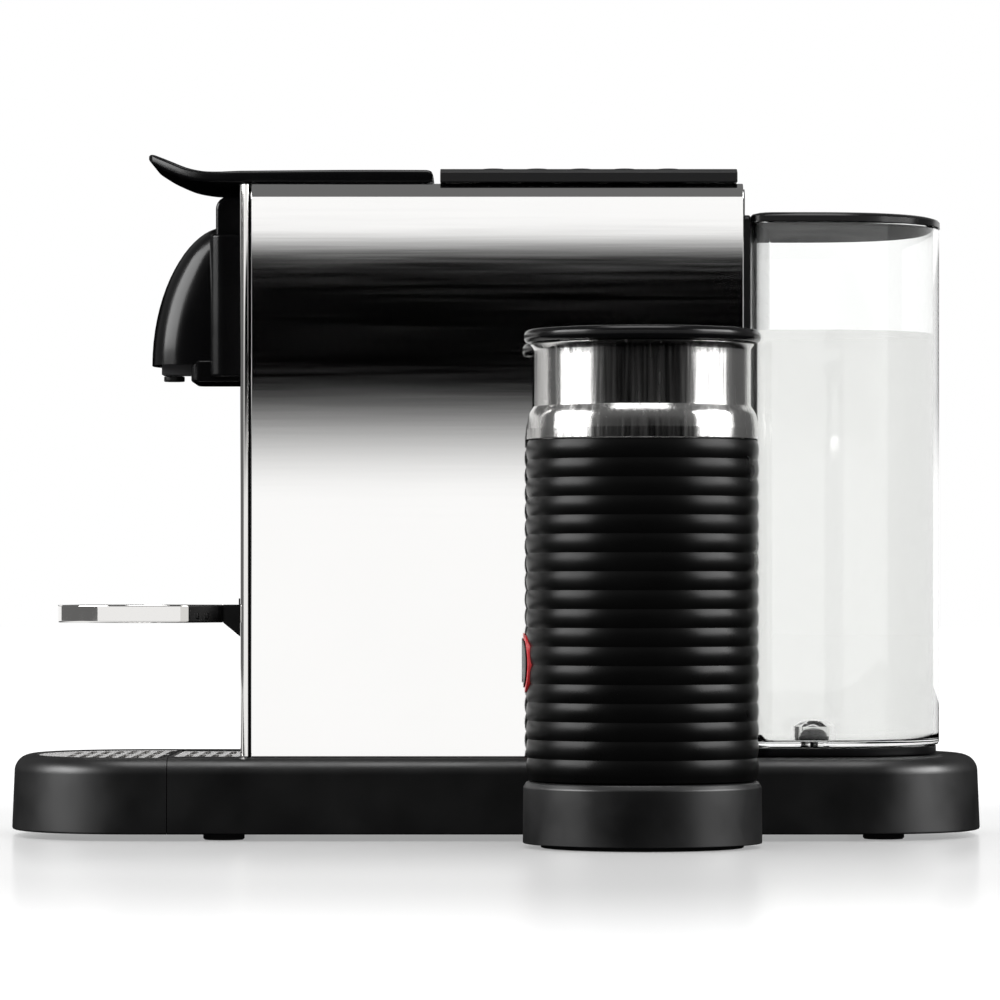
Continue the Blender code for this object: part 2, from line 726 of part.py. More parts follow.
def make_lever_pin():
    pin = rod((MIDDLE_X, LEVER_PIVOT_Y, LEVER_PIVOT_Z), "X", -38.2, 38.2, PIN_RADIUS - 0.3, 12)
    piece("lever_pin", pin, "steel")


def make_lever_mount():
    """The bracket under the shell's top whose two lugs hold the lever's pin."""
    mount = piece("lever_mount", blocks(((-36.8, 36.8), (-20.5, -15.5), (247, 251.1))), "steel")
    arms = both_sides(((31.4, 36.6), (-31, -18), (247.2, 251)))
    near, far = LEVER_PIVOT_Y - 2.2, LEVER_PIVOT_Y + 2.2
    lug = [(near, 249), (far, 249), (far, 256.6), (far - 1.2, 257.8), (near + 1.2, 257.8), (near, 256.6)]
    lugs = [flat(lug, MIDDLE_X + low, MIDDLE_X + low + 4.8, "X") for low in (31.6, -36.4)]
    join(mount, arms, *lugs)
    cut(mount, rod((MIDDLE_X, LEVER_PIVOT_Y, LEVER_PIVOT_Z), "X", -40, 40, PIN_RADIUS - 0.1, 12))


def make_brew_frame():
    """Fixed side plates with rails for the carriage, and a back wall that holds the pod cage."""
    frame = piece("brew_frame", blocks(((-33.5, 33.5), (-33, -30.2), (180.3, 223.5))), "grey_plastic")
    plates = both_sides(((31.0, 33.5), (-94.5, -31), (180.3, 246)))
    rails = both_sides(((26.6, 32.0), (-94.5, -32), (196.5, 199.5)))
    join(frame, plates, rails)
    cut(frame, rod((MIDDLE_X, 0, BREW_AXIS_Z), "Y", -40, -20, 4.4))


def cam_path(steps=8):
    """Where the lever's pin is, seen from the carriage, as the lever opens."""
    path = []
    for k in range(steps + 1):
        angle = LEVER_OPENING * k / steps
        y = LEVER_PIVOT_Y - LEVER_ARM * math.sin(angle) + CARRIAGE_TRAVEL * k / steps
        path.append(Vector((y, LEVER_PIVOT_Z - LEVER_ARM * math.cos(angle))))
    return path


def cam_slot(low_x, high_x):
    """The slot in the carriage's ear that a lever pin runs in: its path, widened, with blunt ends."""
    path = cam_path()
    last = len(path) - 1
    left, right = [], []
    for i, point in enumerate(path):
        ahead = (path[min(i + 1, last)] - path[max(i - 1, 0)]).normalized() * (PIN_RADIUS + 0.5)
        side = Vector((ahead.y, -ahead.x))
        if i == 0:
            right += [point - ahead - side * 0.45, point - ahead + side * 0.45]
        right.append(point + side)
        left.append(point - side)
        if i == last:
            right += [point + ahead + side * 0.45, point + ahead - side * 0.45]
    return flat(right + left[::-1], low_x, high_x, "X")


def make_brew_carriage():
    """The sliding front half of the brewing chamber, with ears for the lever's pins and an outlet spout."""
    centre = (MIDDLE_X, 0, BREW_AXIS_Z)
    spout_centre = (MIDDLE_X, 0, BREW_AXIS_Z - 15.8)
    carriage = piece("brew_carriage", rod(centre, "Y", -68, -55.2, 18, 28), "black_matte")
    plate = blocks(((-29.4, 29.4), (-63, -56), (199.8, 228)))
    ear = [(-60, 206), (-40, 206), (-36, 226.3), (-21.8, 226.3), (-21.8, 250.4), (-36, 250.4), (-46, 232), (-60, 227)]
    ears = [flat(ear, MIDDLE_X + low, MIDDLE_X + low + 2.4, "X") for low in (27.0, -29.4)]
    join(carriage, plate, *ears, rod(spout_centre, "Y", -84, -66, 3.6, 14))
    slots = [cam_slot(MIDDLE_X + low, MIDDLE_X + low + 8) for low in (24.0, -32.0)]
    cut(carriage, *slots, rod(spout_centre, "Y", -90, -70, 2.2, 14))


def make_pierce_plate():
    """The metal plate with raised points that the pod's foil is pressed on."""
    plate = piece("pierce_plate", rod((MIDDLE_X, 0, BREW_AXIS_Z), "Y", -54.9, -53.6, 15, 28), "steel")
    spots = [(MIDDLE_X + x, BREW_AXIS_Z + z) for x in (-8, 0, 8) for z in (-8, 0, 8)]
    join(plate, pegs(spots, -54.2, -53.0, 1.6, 0.5))


def make_pod_cage():
    """The fixed cup that holds the pod, with a water stem at its back."""
    profile = [(0, -17.3), (4, -17.3), (4, -36), (19, -39), (19, -52.4), (15.5, -52.4), (14.5, -41), (0, -41)]
    piece("pod_cage", turned(profile, (MIDDLE_X, 0, BREW_AXIS_Z), "Y", 28), "brass")


def make_pod_chute():
    """Guides a pod from the hole in the top down to the chamber."""
    chute = piece("pod_chute", blocks(((-21.5, 21.5), (-81.2, -51.2), (232, 251))), "black_matte")
    cut(chute, blocks(((-19.8, 19.8), (-79.6, -52.8), (220, 260))))


def make_coffee_duct():
    """An open trough that carries the coffee from the carriage's spout forward to the nozzle."""
    duct = piece("coffee_duct", blocks(((-8, 8), (-131.5, -79.6), (181, 187.2))), "black_matte")
    cut(duct, blocks(((-6, 6), (-129.5, -77), (183, 195))))
    cut(duct, rod((MIDDLE_X, NOZZLE_Y, 0), "Z", 170, 190, 2.2, 12))


def hood_ring(share, points=16):
    """A level outline of the hood at a share of its height: a rounded front and straight cheeks."""
    back = FRAME_FRONT_Y + 6
    depth = back - HOOD_TOP_Y + HOOD_BULGE * (1 - share * share) ** 0.6
    straight = max(depth - HOOD_HALF_WIDTH * 0.9, depth * 0.4)
    z = HOOD_BOTTOM + HOOD_HEIGHT * share
    ring = [(MIDDLE_X + HOOD_HALF_WIDTH, back, z)]
    for k in range(points + 1):
        angle = math.pi * k / points
        across = math.copysign(abs(math.cos(angle)) ** 0.8, math.cos(angle))
        y = back - straight - (depth - straight) * math.sin(angle) ** 0.8
        ring.append((MIDDLE_X + HOOD_HALF_WIDTH * across, y, z))
    ring.append((MIDDLE_X - HOOD_HALF_WIDTH, back, z))
    return ring


def make_brew_head():
    """The hood over the outlet, with a wider collar and cap where it meets the column."""
    shares = [math.sin(math.pi / 2 * k / 7) * 0.998 for k in range(8)]
    head = piece("brew_head", lofted([hood_ring(share) for share in shares]), "black_gloss")
    back = FRAME_FRONT_Y - GAP
    collar = flat(rounded_outline(MIDDLE_X - 29, MIDDLE_X + 29, -111.8, back + 8, 6), 179.3, 235.1)
    cap = flat(rounded_outline(-109.4, back + 8, 225, 250, 4), MIDDLE_X - 25, MIDDLE_X + 25, "X")
    plate = flat(rounded_outline(MIDDLE_X - 24, MIDDLE_X + 24, -119.2, back + 8, 4), 177.5, 186)
    join(head, collar, cap, plate)
    cut(head, blocks(((-60, 60), (back, -80), (150, 270))), blocks(((-12, 12), (-132, -90), (180.6, 200.5))))
    cut(head, rod((MIDDLE_X, NOZZLE_Y, 0), "Z", 170, 190, 4.5, 20))


def make_nozzle():
    profile = [(2.0, 178.5), (4.1, 178.5), (4.1, 180.6), (2.0, 180.6)]
    piece("nozzle", turned(profile, (MIDDLE_X, NOZZLE_Y, 0), steps=20, closed=True), "black_matte")


# ---- water and heat ----


def make_pump():
    profile = [(0, 40), (5, 40), (5, 47), (15, 47), (15, 60), (17.5, 60), (17.5, 94), (12, 94), (12, 118)]
    profile += [(4, 118), (4, 128), (0, 128)]
    piece("pump", turned(profile, (MIDDLE_X + PUMP_ACROSS, PUMP_Y, 0)), "steel")


def make_heater_block():
    profile = [(0, -17), (10, -17), (10, -13), (27.2, -13), (27.2, -4), (24, -2), (24, 4), (27.2, 6), (27.2, 16), (0, 16)]
    piece("heater_block", turned(profile, (MIDDLE_X, 0, BREW_AXIS_Z), "Y", 28), "aluminium")


def make_tubes():
    x = MIDDLE_X + PUMP_ACROSS
    seat_to_pump = [(MIDDLE_X, VALVE_Y, 17.6), (MIDDLE_X, VALVE_Y - 2, 14), (MIDDLE_X - 4, 108, 13.5)]
    seat_to_pump += [(x + 2, 74, 13.5), (x, 61, 16), (x, PUMP_Y, 24), (x, PUMP_Y, 39.6)]
    piece("inlet_tube", tube(seat_to_pump, TUBE_RADIUS), "clear_plastic")
    pump_to_heater = [(x, PUMP_Y, 128.4), (x, PUMP_Y, 140), (x + 2, 54, 165), (x + 6, 36, 192), (x + 8, 24, 200)]
    pump_to_heater.append((x + 8, 16.4, 200))
    piece("pump_tube", tube(pump_to_heater, TUBE_RADIUS), "clear_plastic")


def tank_ring(inset, z, points=14):
    """A level outline of the tank: flat towards the column, rounded behind."""
    half = TANK_HALF_WIDTH - inset
    front = TANK_FRONT_Y + inset
    arc_y = TANK_BACK_Y - TANK_ARC_REACH
    ring = []
    for k in range(points + 1):
        angle = math.pi * k / points
        across = math.copysign(abs(math.cos(angle)) ** 0.85, math.cos(angle))
        ring.append((MIDDLE_X + half * across, arc_y + (TANK_ARC_REACH - inset) * math.sin(angle) ** 0.85, z))
    for quarter, x in ((2, MIDDLE_X - half + TANK_CORNER), (3, MIDDLE_X + half - TANK_CORNER)):
        for k in range(4):
            angle = math.pi / 2 * (quarter + k / 3)
            y = front + TANK_CORNER + TANK_CORNER * math.sin(angle)
            ring.append((x + TANK_CORNER * math.cos(angle), y, z))
    return ring


def make_water_tank():
    outside = lofted([tank_ring(0.8, TANK_BOTTOM), tank_ring(0, TANK_BOTTOM + 1.5), tank_ring(0, TANK_TOP)])
    inside = lofted([tank_ring(TANK_WALL + 0.6, 37.8), tank_ring(TANK_WALL, 39.5), tank_ring(TANK_WALL, 250)])
    tank = piece("water_tank", outside, "clear_plastic")
    cut(tank, inside)
    join(tank, rod((MIDDLE_X, VALVE_Y, 0), "Z", 33.7, 36.5, 7.5, 20))
    cut(tank, rod((MIDDLE_X, VALVE_Y, 0), "Z", 30, 40, 5, 20))


def make_tank_lid():
    plate = lofted([tank_ring(-0.3, TANK_TOP + GAP), tank_ring(-0.3, 240.4), tank_ring(2.6, 242)])
    plug = lofted([tank_ring(TANK_WALL + 0.5, 236.8), tank_ring(TANK_WALL + 0.4, 239.5)])
    join(piece("tank_lid", plate, "black_gloss"), plug)


def make_tank_valve():
    profile = [(0, 34.3), (2, 34.3), (2, 38.1), (7.2, 38.1), (7.2, 39.4), (4.5, 41.5), (0, 42.2)]
    piece("tank_valve", turned(profile, (MIDDLE_X, VALVE_Y, 0), steps=20), "black_matte")


def make_tank_seat():
    profile = [(2.4, 18), (4, 18), (4, 32.1), (10.5, 32.1), (10.5, 35.1), (8, 35.1), (8, 33.3), (2.4, 33.3)]
    piece("tank_seat", turned(profile, (MIDDLE_X, VALVE_Y, 0), steps=20, closed=True), "rubber")


# ---- frother ----


def frother_turned(name, profile, finish, steps=32, closed=False):
    return piece(name, turned(profile, (FROTHER_X, FROTHER_Y, 0), steps=steps, closed=closed), finish)


def make_plinth():
    profile = [(42.3, 2.0), (PLINTH_RADIUS, 1.6), (44.6, 22.6), (43.6, 24.4), (42.6, PLINTH_TOP)]
    profile += [(12.6, PLINTH_TOP), (12.6, 22.2), (42.0, 22.2)]
    plinth = frother_turned("frother_plinth", profile, "black_matte", closed=True)
    join(plinth, blocks(((60, 69), (40, 70), (5.5, 22))))
    ring = [(26, 0), (38, 0), (38, 1.9), (26, 1.9)]
    frother_turned("plinth_foot", ring, "rubber", 24, closed=True)
    floor = [(0, 2.2), (41.6, 2.2), (41.6, 4.2), (12, 4.2), (12, 25), (10, 27.6), (0, 27.6)]
    frother_turned("frother_connector", floor, "black_matte", 24)


def across_front(radius, low_y, high_y):
    """A bar through the frother's front, on the button's axis."""
    return rod((FROTHER_X, 0, FROTHER_BUTTON_Z), "Y", low_y, high_y, radius, 24)


def make_sleeve():
    """The ribbed outer sleeve, closed at the bottom around the connector."""
    groove = SLEEVE_RADIUS - SLEEVE_GROOVE
    pitch = (SLEEVE_TOP - SLEEVE_BOTTOM - 2) / SLEEVE_RIBS
    profile = [(0, 28.2), (12.8, 28.2), (12.8, SLEEVE_BOTTOM), (groove - 1, SLEEVE_BOTTOM)]
    for rib in range(SLEEVE_RIBS):
        z = SLEEVE_BOTTOM + 1 + pitch * rib
        profile += [(groove, z), (SLEEVE_RADIUS, z + pitch / 2)]
    profile += [(groove, SLEEVE_TOP - 1), (groove, SLEEVE_TOP), (40.8, SLEEVE_TOP), (40.8, 31), (0, 31)]
    cut(frother_turned("frother_sleeve", profile, "black_matte", 24), across_front(11, 5, 20))


def skin(radius):
    """A fine cylinder that gives the button and its ring the sleeve's roundness."""
    return rod((FROTHER_X, FROTHER_Y, 0.013), "Z", 50, 90, radius, 52)


def make_frother_button():
    profile = [(9.1, 5), (10.7, 5), (10.7, 14.6), (9.1, 14.6)]
    band = turned(profile, (FROTHER_X, 0, FROTHER_BUTTON_Z), "Y", 26, closed=True)
    trim(piece("button_ring", band, "red_plastic"), skin(44.1))
    trim(piece("frother_button", across_front(8.7, 5, 13.6), "black_gloss"), skin(44.6))


def make_frother_vessel():
    collar = [(39.0, 152.6), (43.3, 152.6), (43.3, 156), (42.6, 161.5), (40.9, 164.6), (40.5, 166.5)]
    collar += [(40.5, 185.5), (41.8, 188.1), (39.0, 188.1)]
    frother_turned("frother_collar", collar, "chrome", 32, closed=True)
    cup = [(0, 58), (36, 58), (CUP_RADIUS, 61), (CUP_RADIUS, 187.8), (37.3, 187.8), (37.3, 61.8), (35.4, 59.4)]
    cup += [(2, 59.4), (2, 65), (0, 65)]
    frother_turned("frother_cup", cup, "steel")
    lid = [(0, 184), (34, 184), (34, 188.6), (43.4, 188.6), (LID_RADIUS, 189.6), (LID_RADIUS, 192.2)]
    lid += [(43.2, 193.5), (0, 193.5)]
    frother_turned("frother_lid", lid, "black_gloss")
    seal = [(34.3, 184.6), (36.9, 184.6), (36.9, 188.3), (34.3, 188.3)]
    frother_turned("lid_seal", seal, "rubber", closed=True)


def make_frother_drive():
    motor = [(0, 31.4), (16, 31.4), (16, 47), (3, 47), (3, 50.8), (0, 50.8)]
    frother_turned("frother_motor", motor, "steel", 24)
    piece("drive_disc", rod((FROTHER_X, FROTHER_Y, 0), "Z", 51.2, 55.6, 17, 24), "steel")
    hub = [(2.3, 60.4), (5, 60.4), (5, 68), (2.3, 68)]
    whisk = frother_turned("whisk", hub, "steel", 20, closed=True)
    vanes = [rod((FROTHER_X, FROTHER_Y, 62.2), "X", low, low + 9.8, 1.3, 8) for low in (-13, 3.2)]
    hoop = turned([(11.6, 60.6), (14, 60.6), (14, 64), (11.6, 64)], (FROTHER_X, FROTHER_Y, 0), steps=20, closed=True)
    join(whisk, *vanes, hoop)


# ---- what moves with what ----


def carry_moving_pieces():
    tray = ("drip_tray", "rear_grid", "pod_bin", "front_panel", "cup_bracket", "cup_hinge_pin")
    carry("tray_unit", (MIDDLE_X, SEAM_Y, BASE_BOTTOM), *tray)
    carry("drip_grid", (MIDDLE_X, SEAM_Y, GRID_BOTTOM), "drip_grid")
    carry("cup_support", (MIDDLE_X, SUPPORT_HINGE_Y, SUPPORT_HINGE_Z), "cup_support")
    carry("lever", (MIDDLE_X, LEVER_PIVOT_Y, LEVER_PIVOT_Z), "lever")
    carry("brew_carriage", (MIDDLE_X, 0, BREW_AXIS_Z), "brew_carriage", "pierce_plate")
    for number, y in enumerate(BUTTON_YS, 1):
        carry(f"button_{number}", (MIDDLE_X, y, BUTTON_TOP), f"button_{number}")
    carry("water_tank", (MIDDLE_X, VALVE_Y, TANK_BOTTOM), "water_tank")
    carry("tank_lid", (MIDDLE_X, VALVE_Y, TANK_TOP), "tank_lid")
    carry("tank_valve", (MIDDLE_X, VALVE_Y, TANK_BOTTOM), "tank_valve")
    jug = ("frother_sleeve", "frother_collar", "frother_cup", "frother_motor", "button_ring")
    carry("frother_jug", (FROTHER_X, FROTHER_Y, SLEEVE_BOTTOM), *jug)
    carry("frother_lid", (FROTHER_X, FROTHER_Y, SLEEVE_TOP), "frother_lid", "lid_seal")
    carry("drive_disc", (FROTHER_X, FROTHER_Y, SLEEVE_BOTTOM), "drive_disc")
    carry("whisk", (FROTHER_X, FROTHER_Y, SLEEVE_BOTTOM), "whisk")
    carry("frother_button", (FROTHER_X, 0, FROTHER_BUTTON_Z), "frother_button")


def build():
    make_base_housing()
    make_base_plate()
    make_feet()
    make_power_inlet()
    make_drip_tray()
    make_drip_grid()
    make_rear_grid()
    make_pod_bin()
    make_front_panel()
    make_cup_bracket()
    make_cup_support()
    make_cup_hinge_pin()
    make_body_shell()
    make_front_frame()
    make_chassis()
    make_rear_panel()
    make_top_cover()
    make_buttons()
    make_status_light()
    make_control_board()
    make_lever()
    make_lever_pin()
    make_lever_mount()
    make_brew_frame()
    make_brew_carriage()
    make_pierce_plate()
    make_pod_cage()
    make_pod_chute()
    make_coffee_duct()
    make_brew_head()
    make_nozzle()
    make_pump()
    make_heater_block()
    make_tubes()
    make_water_tank()
    make_tank_lid()
    make_tank_valve()
    make_tank_seat()
    make_plinth()
    make_sleeve()
    make_frother_button()
    make_frother_vessel()
    make_frother_drive()
    carry_moving_pieces()


build()
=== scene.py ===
"""The looks of the pod coffee machine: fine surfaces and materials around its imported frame.

Lengths are in millimetres and become metres where a mesh is made. The front faces -Y and +Z is up. The
camera looks along -X. Sizes are read from the frame's nodes, and what a box can't give is named below.
"""

import math
from collections import namedtuple

import bmesh
import bpy
from mathutils import Matrix, Vector


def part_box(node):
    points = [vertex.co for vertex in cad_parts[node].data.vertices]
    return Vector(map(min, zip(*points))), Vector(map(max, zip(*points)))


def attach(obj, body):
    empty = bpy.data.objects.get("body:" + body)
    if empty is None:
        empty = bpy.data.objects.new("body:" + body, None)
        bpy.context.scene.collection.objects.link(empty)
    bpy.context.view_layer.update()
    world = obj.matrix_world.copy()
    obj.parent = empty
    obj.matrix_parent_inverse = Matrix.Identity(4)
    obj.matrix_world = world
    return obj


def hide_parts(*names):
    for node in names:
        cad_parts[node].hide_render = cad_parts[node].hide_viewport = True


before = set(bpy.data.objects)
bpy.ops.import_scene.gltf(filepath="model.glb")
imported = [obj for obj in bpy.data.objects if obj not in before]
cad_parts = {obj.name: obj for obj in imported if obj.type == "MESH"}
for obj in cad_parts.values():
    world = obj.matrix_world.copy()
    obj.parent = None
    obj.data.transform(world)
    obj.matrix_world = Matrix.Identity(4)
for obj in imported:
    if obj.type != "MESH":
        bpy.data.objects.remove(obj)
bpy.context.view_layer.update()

MM = 0.001
GAP = 0.3
Box = namedtuple("Box", "x0 x1 y0 y1 z0 z1")


def box(node):
    """A node's box in millimetres."""
    low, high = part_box(node)
    return Box(low.x / MM, high.x / MM, low.y / MM, high.y / MM, low.z / MM, high.z / MM)


def middle_y(node_box):
    return (node_box.y0 + node_box.y1) / 2


HOUSING = box("base_housing")
TRAY = box("drip_tray")
SHELL = box("body_shell")
FRAME = box("front_frame")
PANEL = box("front_panel")
COVER = box("top_cover")
HEAD = box("brew_head")
SUPPORT = box("cup_support")
TANK = box("water_tank")
TANK_LID = box("tank_lid")
PLINTH = box("frother_plinth")
SLEEVE = box("frother_sleeve")
COLLAR = box("frother_collar")
JUG_LID = box("frother_lid")

MIDDLE_X = (SHELL.x0 + SHELL.x1) / 2
SEAM_Y = HOUSING.y0 - GAP

# Base
BASE_END_REACH = 56.0
BASE_END_POWER = 2.3
BASE_DRAFT = 0.9
BASE_EDGE_RADIUS = 6.5
BASE_WALL = 2.5
CHANNEL_HALF_WIDTH = 42.5
CHANNEL_END_Y = -30.0
SLOT_PITCH = 5.2
SLOT_WIDTH = 2.8
SLOT_WEB_HALF = 2.5

# Column
SHELL_SHEET = 1.6
SHELL_EDGE_RADIUS = 6.0
FRAME_EDGE_RADIUS = 2.9
DOT_COLUMNS = 9
DOT_ROWS = 20
DOT_PITCH_X = 8.25
DOT_PITCH_Z = 7.28
DOT_LOWEST_Z = 35.0
DOT_HEIGHT = 0.8
CROWN = 1.6

# Lever
LEVER_PIVOT_Y = -26.75
LEVER_PIVOT_Z = 255.6
LEVER_ARM = 26.0
PIN_RADIUS = 1.5

# Buttons on the cover
BUTTON_EDGE = 0.9

# Tank
TANK_ARC_REACH = 54.0
TANK_ARC_POWER = 0.85
TANK_CORNER = 6.0
TANK_WALL = 2.0
TANK_FLOOR_Z = 35.5
VALVE_PLACE = (MIDDLE_X, 124.2, 0)
WATER_TOP = 196.5

# Frother
FROTHER_X = (JUG_LID.x0 + JUG_LID.x1) / 2
FROTHER_Y = middle_y(JUG_LID)
FROTHER_AXIS = (FROTHER_X, FROTHER_Y, 0)
SLEEVE_GROOVE = 0.6
SLEEVE_RIBS = 18
RING_Z = 68.6


# ---- materials ----


def new_material(name):
    """An empty material with its shader and the point that textures are read at."""
    material = bpy.data.materials.new(name)
    material.use_nodes = True
    tree = material.node_tree
    place = tree.nodes.new("ShaderNodeTexCoord").outputs["Object"]
    return material, tree, tree.nodes["Principled BSDF"], place


def fill(tree, node, values):
    """Sets a node's inputs, each to a value or to what another node puts out."""
    for socket, value in values.items():
        if isinstance(value, bpy.types.NodeSocket):
            tree.links.new(value, node.inputs[socket])
        else:
            node.inputs[socket].default_value = value
    return node


def add_node(tree, kind, values, **settings):
    node = tree.nodes.new(f"ShaderNode{kind}")
    for setting, value in settings.items():
        setattr(node, setting, value)
    return fill(tree, node, values)


def noise(tree, place, scale, detail=3.0, stretch=(1, 1, 1)):
    """Noise whose grain is 1/scale metres, drawn out along an axis by a stretch under 1."""
    mapping = add_node(tree, "Mapping", {"Vector": place, "Scale": stretch})
    look = {"Vector": mapping.outputs["Vector"], "Scale": scale, "Detail": detail}
    return add_node(tree, "TexNoise", look).outputs["Fac"]


def spread(tree, value, low, high):
    """Noise, which lies mostly between 0.3 and 0.7, mapped to a range."""
    ends = {"From Min": 0.3, "From Max": 0.7, "To Min": low, "To Max": high}
    return add_node(tree, "MapRange", {"Value": value, **ends}).outputs["Result"]


def tint(tree, value, dark, light):
    """A colour between two, chosen by a value."""
    ends = {"Factor": value, "A": (*dark, 1), "B": (*light, 1)}
    return add_node(tree, "Mix", ends, data_type="RGBA").outputs["Result"]


def relief(tree, value, depth):
    """The normal of a bumpy surface, with its depth in metres."""
    return add_node(tree, "Bump", {"Height": value, "Strength": 1.0, "Distance": depth}).outputs["Normal"]


def scaled(colour, factor):
    return tuple(min(1.0, channel * factor) for channel in colour)


def plastic(name, colour, roughness, specular=0.5, grain=1500.0, depth=0.00001, coat=0.0):
    """Moulded plastic: fine surface grain, slight handling marks in its gloss and colour."""
    material, tree, shader, place = new_material(name)
    marks = noise(tree, place, 45.0, 4.0)
    look = {
        "Base Color": tint(tree, marks, scaled(colour, 0.85), scaled(colour, 1.15)),
        "Roughness": spread(tree, marks, roughness * 0.85, roughness * 1.2),
        "Normal": relief(tree, noise(tree, place, grain, 2.0), depth),
        "Specular IOR Level": specular,
        "Coat Weight": coat,
        "Coat Roughness": 0.08,
    }
    fill(tree, shader, look)
    return material


def metal(name, colour, roughness, stretch=(1, 1, 1), grain=600.0, depth=0.000002, around=0.0):
    """Metal with fine drawn lines and faint smears; around is how strongly a lathe has marked it."""
    material, tree, shader, place = new_material(name)
    lines = noise(tree, place, grain, 3.0, stretch)
    smears = noise(tree, place, 18.0, 4.0)
    look = {
        "Base Color": tint(tree, smears, scaled(colour, 0.97), colour),
        "Roughness": spread(tree, lines, roughness * 0.7, roughness * 1.4),
        "Normal": relief(tree, lines, depth),
        "Metallic": 1.0,
    }
    if around:
        circles = add_node(tree, "Tangent", {}, direction_type="RADIAL", axis="Z")
        look |= {"Tangent": circles.outputs["Tangent"], "Anisotropic": around, "Anisotropic Rotation": 0.25}
    fill(tree, shader, look)
    return material


def clear(name, colour, index, roughness):
    """A clear solid with faint moulding marks."""
    material, tree, shader, place = new_material(name)
    marks = noise(tree, place, 30.0, 3.0)
    look = {
        "Base Color": tint(tree, marks, scaled(colour, 0.985), colour),
        "Roughness": spread(tree, marks, roughness, roughness * 1.5),
        "Normal": relief(tree, marks, 0.00002),
        "Transmission Weight": 1.0,
        "IOR": index,
    }
    fill(tree, shader, look)
    return material


def circuit_board(name):
    """Green lacquer over copper tracks."""
    material, tree, shader, place = new_material(name)
    lacquer = {
        "Color1": (0.01, 0.10, 0.04, 1),
        "Color2": (0.015, 0.14, 0.05, 1),
        "Mortar": (0.06, 0.24, 0.08, 1),
        "Mortar Size": 0.06,
    }
    tracks = add_node(tree, "TexBrick", {"Vector": place, "Scale": 160.0, **lacquer})
    gloss = spread(tree, noise(tree, place, 300.0), 0.25, 0.45)
    fill(tree, shader, {"Base Color": tracks.outputs["Color"], "Roughness": gloss})
    return material


def lit_lens(name, colour, strength):
    """A lit plastic lens, brighter where it is thin."""
    material, tree, shader, place = new_material(name)
    cloud = noise(tree, place, 400.0, 2.0)
    look = {
        "Base Color": tint(tree, cloud, scaled(colour, 0.85), colour),
        "Emission Color": tint(tree, cloud, scaled(colour, 0.8), colour),
        "Roughness": spread(tree, cloud, 0.25, 0.4),
        "Emission Strength": strength,
    }
    fill(tree, shader, look)
    return material


BLACK = (0.0018, 0.0018, 0.002)
CHROME = metal("chrome", (0.93, 0.925, 0.915), 0.03, (1, 0.02, 1), 500.0, 0.0000005)
POLISHED = metal("polished_steel", (0.80, 0.79, 0.775), 0.04, (1, 1, 0.03), 700.0, 0.0000002)
TURNED = metal("turned_steel", (0.62, 0.615, 0.605), 0.2, (1, 1, 0.03), 700.0, 0.0000002, 0.8)
BRUSHED = metal("brushed_steel", (0.70, 0.69, 0.68), 0.24, (0.02, 1, 1), 1500.0)
PRESSED = metal("pressed_steel", (0.48, 0.48, 0.49), 0.34)
CAST = metal("cast_aluminium", (0.60, 0.60, 0.61), 0.46, (1, 1, 1), 900.0, 0.00003)
BRASS = metal("brass", (0.72, 0.50, 0.22), 0.28)
GLOSS_BLACK = plastic("gloss_black", BLACK, 0.2, 0.22, 900.0, 0.000004, 0.05)
SATIN_BLACK = plastic("satin_black", (0.003, 0.003, 0.0032), 0.32, 0.16)
BASE_BLACK = plastic("base_black", BLACK, 0.4, 0.64, 1600.0, 0.000006)
RIB_BLACK = plastic("soft_black", (0.0015, 0.0015, 0.0015), 0.3, 0.14, 2000.0, 0.000008)
DARK = plastic("dark_plastic", (0.022, 0.022, 0.024), 0.5, 0.4)
GREY = plastic("grey_plastic", (0.20, 0.20, 0.21), 0.5)
RUBBER = plastic("rubber", (0.006, 0.006, 0.006), 0.72, 0.04, 2500.0, 0.00003)
RED = plastic("red_plastic", (0.42, 0.012, 0.016), 0.3)
TANK_CLEAR = clear("tank_clear", (0.965, 0.97, 0.965), 1.49, 0.01)
TUBE_CLEAR = clear("tube_clear", (0.85, 0.86, 0.84), 1.41, 0.12)
# The water's grey colour is painted shade: clear water gets a grey tint so that what is seen through it
# comes out dimmer.
WATER = clear("water", (0.79, 0.79, 0.78), 1.333, 0.0)
BOARD = circuit_board("circuit_board")
LENS = lit_lens("status_lens", (0.95, 0.93, 0.88), 0.6)


# ---- shapes, as bmeshes in millimetres ----


def finished(shape):
    bmesh.ops.remove_doubles(shape, verts=shape.verts, dist=1e-4)
    bmesh.ops.recalc_face_normals(shape, faces=shape.faces)
    return shape


def lofted(rings):
    """A closed solid through rings of points that all have the same count."""
    shape = bmesh.new()
    levels = [[shape.verts.new(point) for point in ring] for ring in rings]
    count = len(levels[0])
    for low, high in zip(levels, levels[1:]):
        for i in range(count):
            j = (i + 1) % count
            shape.faces.new((low[i], low[j], high[j], high[i]))
    shape.faces.new(levels[0][::-1])
    shape.faces.new(levels[-1])
    return finished(shape)


def placed(outline, level, axis):
    """Outline points at a level along an axis; they are the other two coordinates, in X, Y, Z order."""
    if axis == "X":
        return [(level, a, b) for a, b in outline]
    if axis == "Y":
        return [(a, level, b) for a, b in outline]
    return [(a, b, level) for a, b in outline]


def prism(outline, low, high, axis="Z"):
    return lofted([placed(outline, low, axis), placed(outline, high, axis)])


def block(across, along, up):
    """A box from three spans, the first measured from the brewer's middle plane."""
    x0, x1 = (MIDDLE_X + value for value in across)
    y0, y1 = along
    return prism([(x0, y0), (x1, y0), (x1, y1), (x0, y1)], *up)


def several(shapes):
    """Shapes that don't touch, as one."""
    merged = bmesh.new()
    for shape in shapes:
        mesh = bpy.data.meshes.new("shape")
        shape.to_mesh(mesh)
        merged.from_mesh(mesh)
        bpy.data.meshes.remove(mesh)
        shape.free()
    return merged


def both_sides(across, along, up):
    low, high = across
    return several([block((low, high), along, up), block((-high, -low), along, up)])


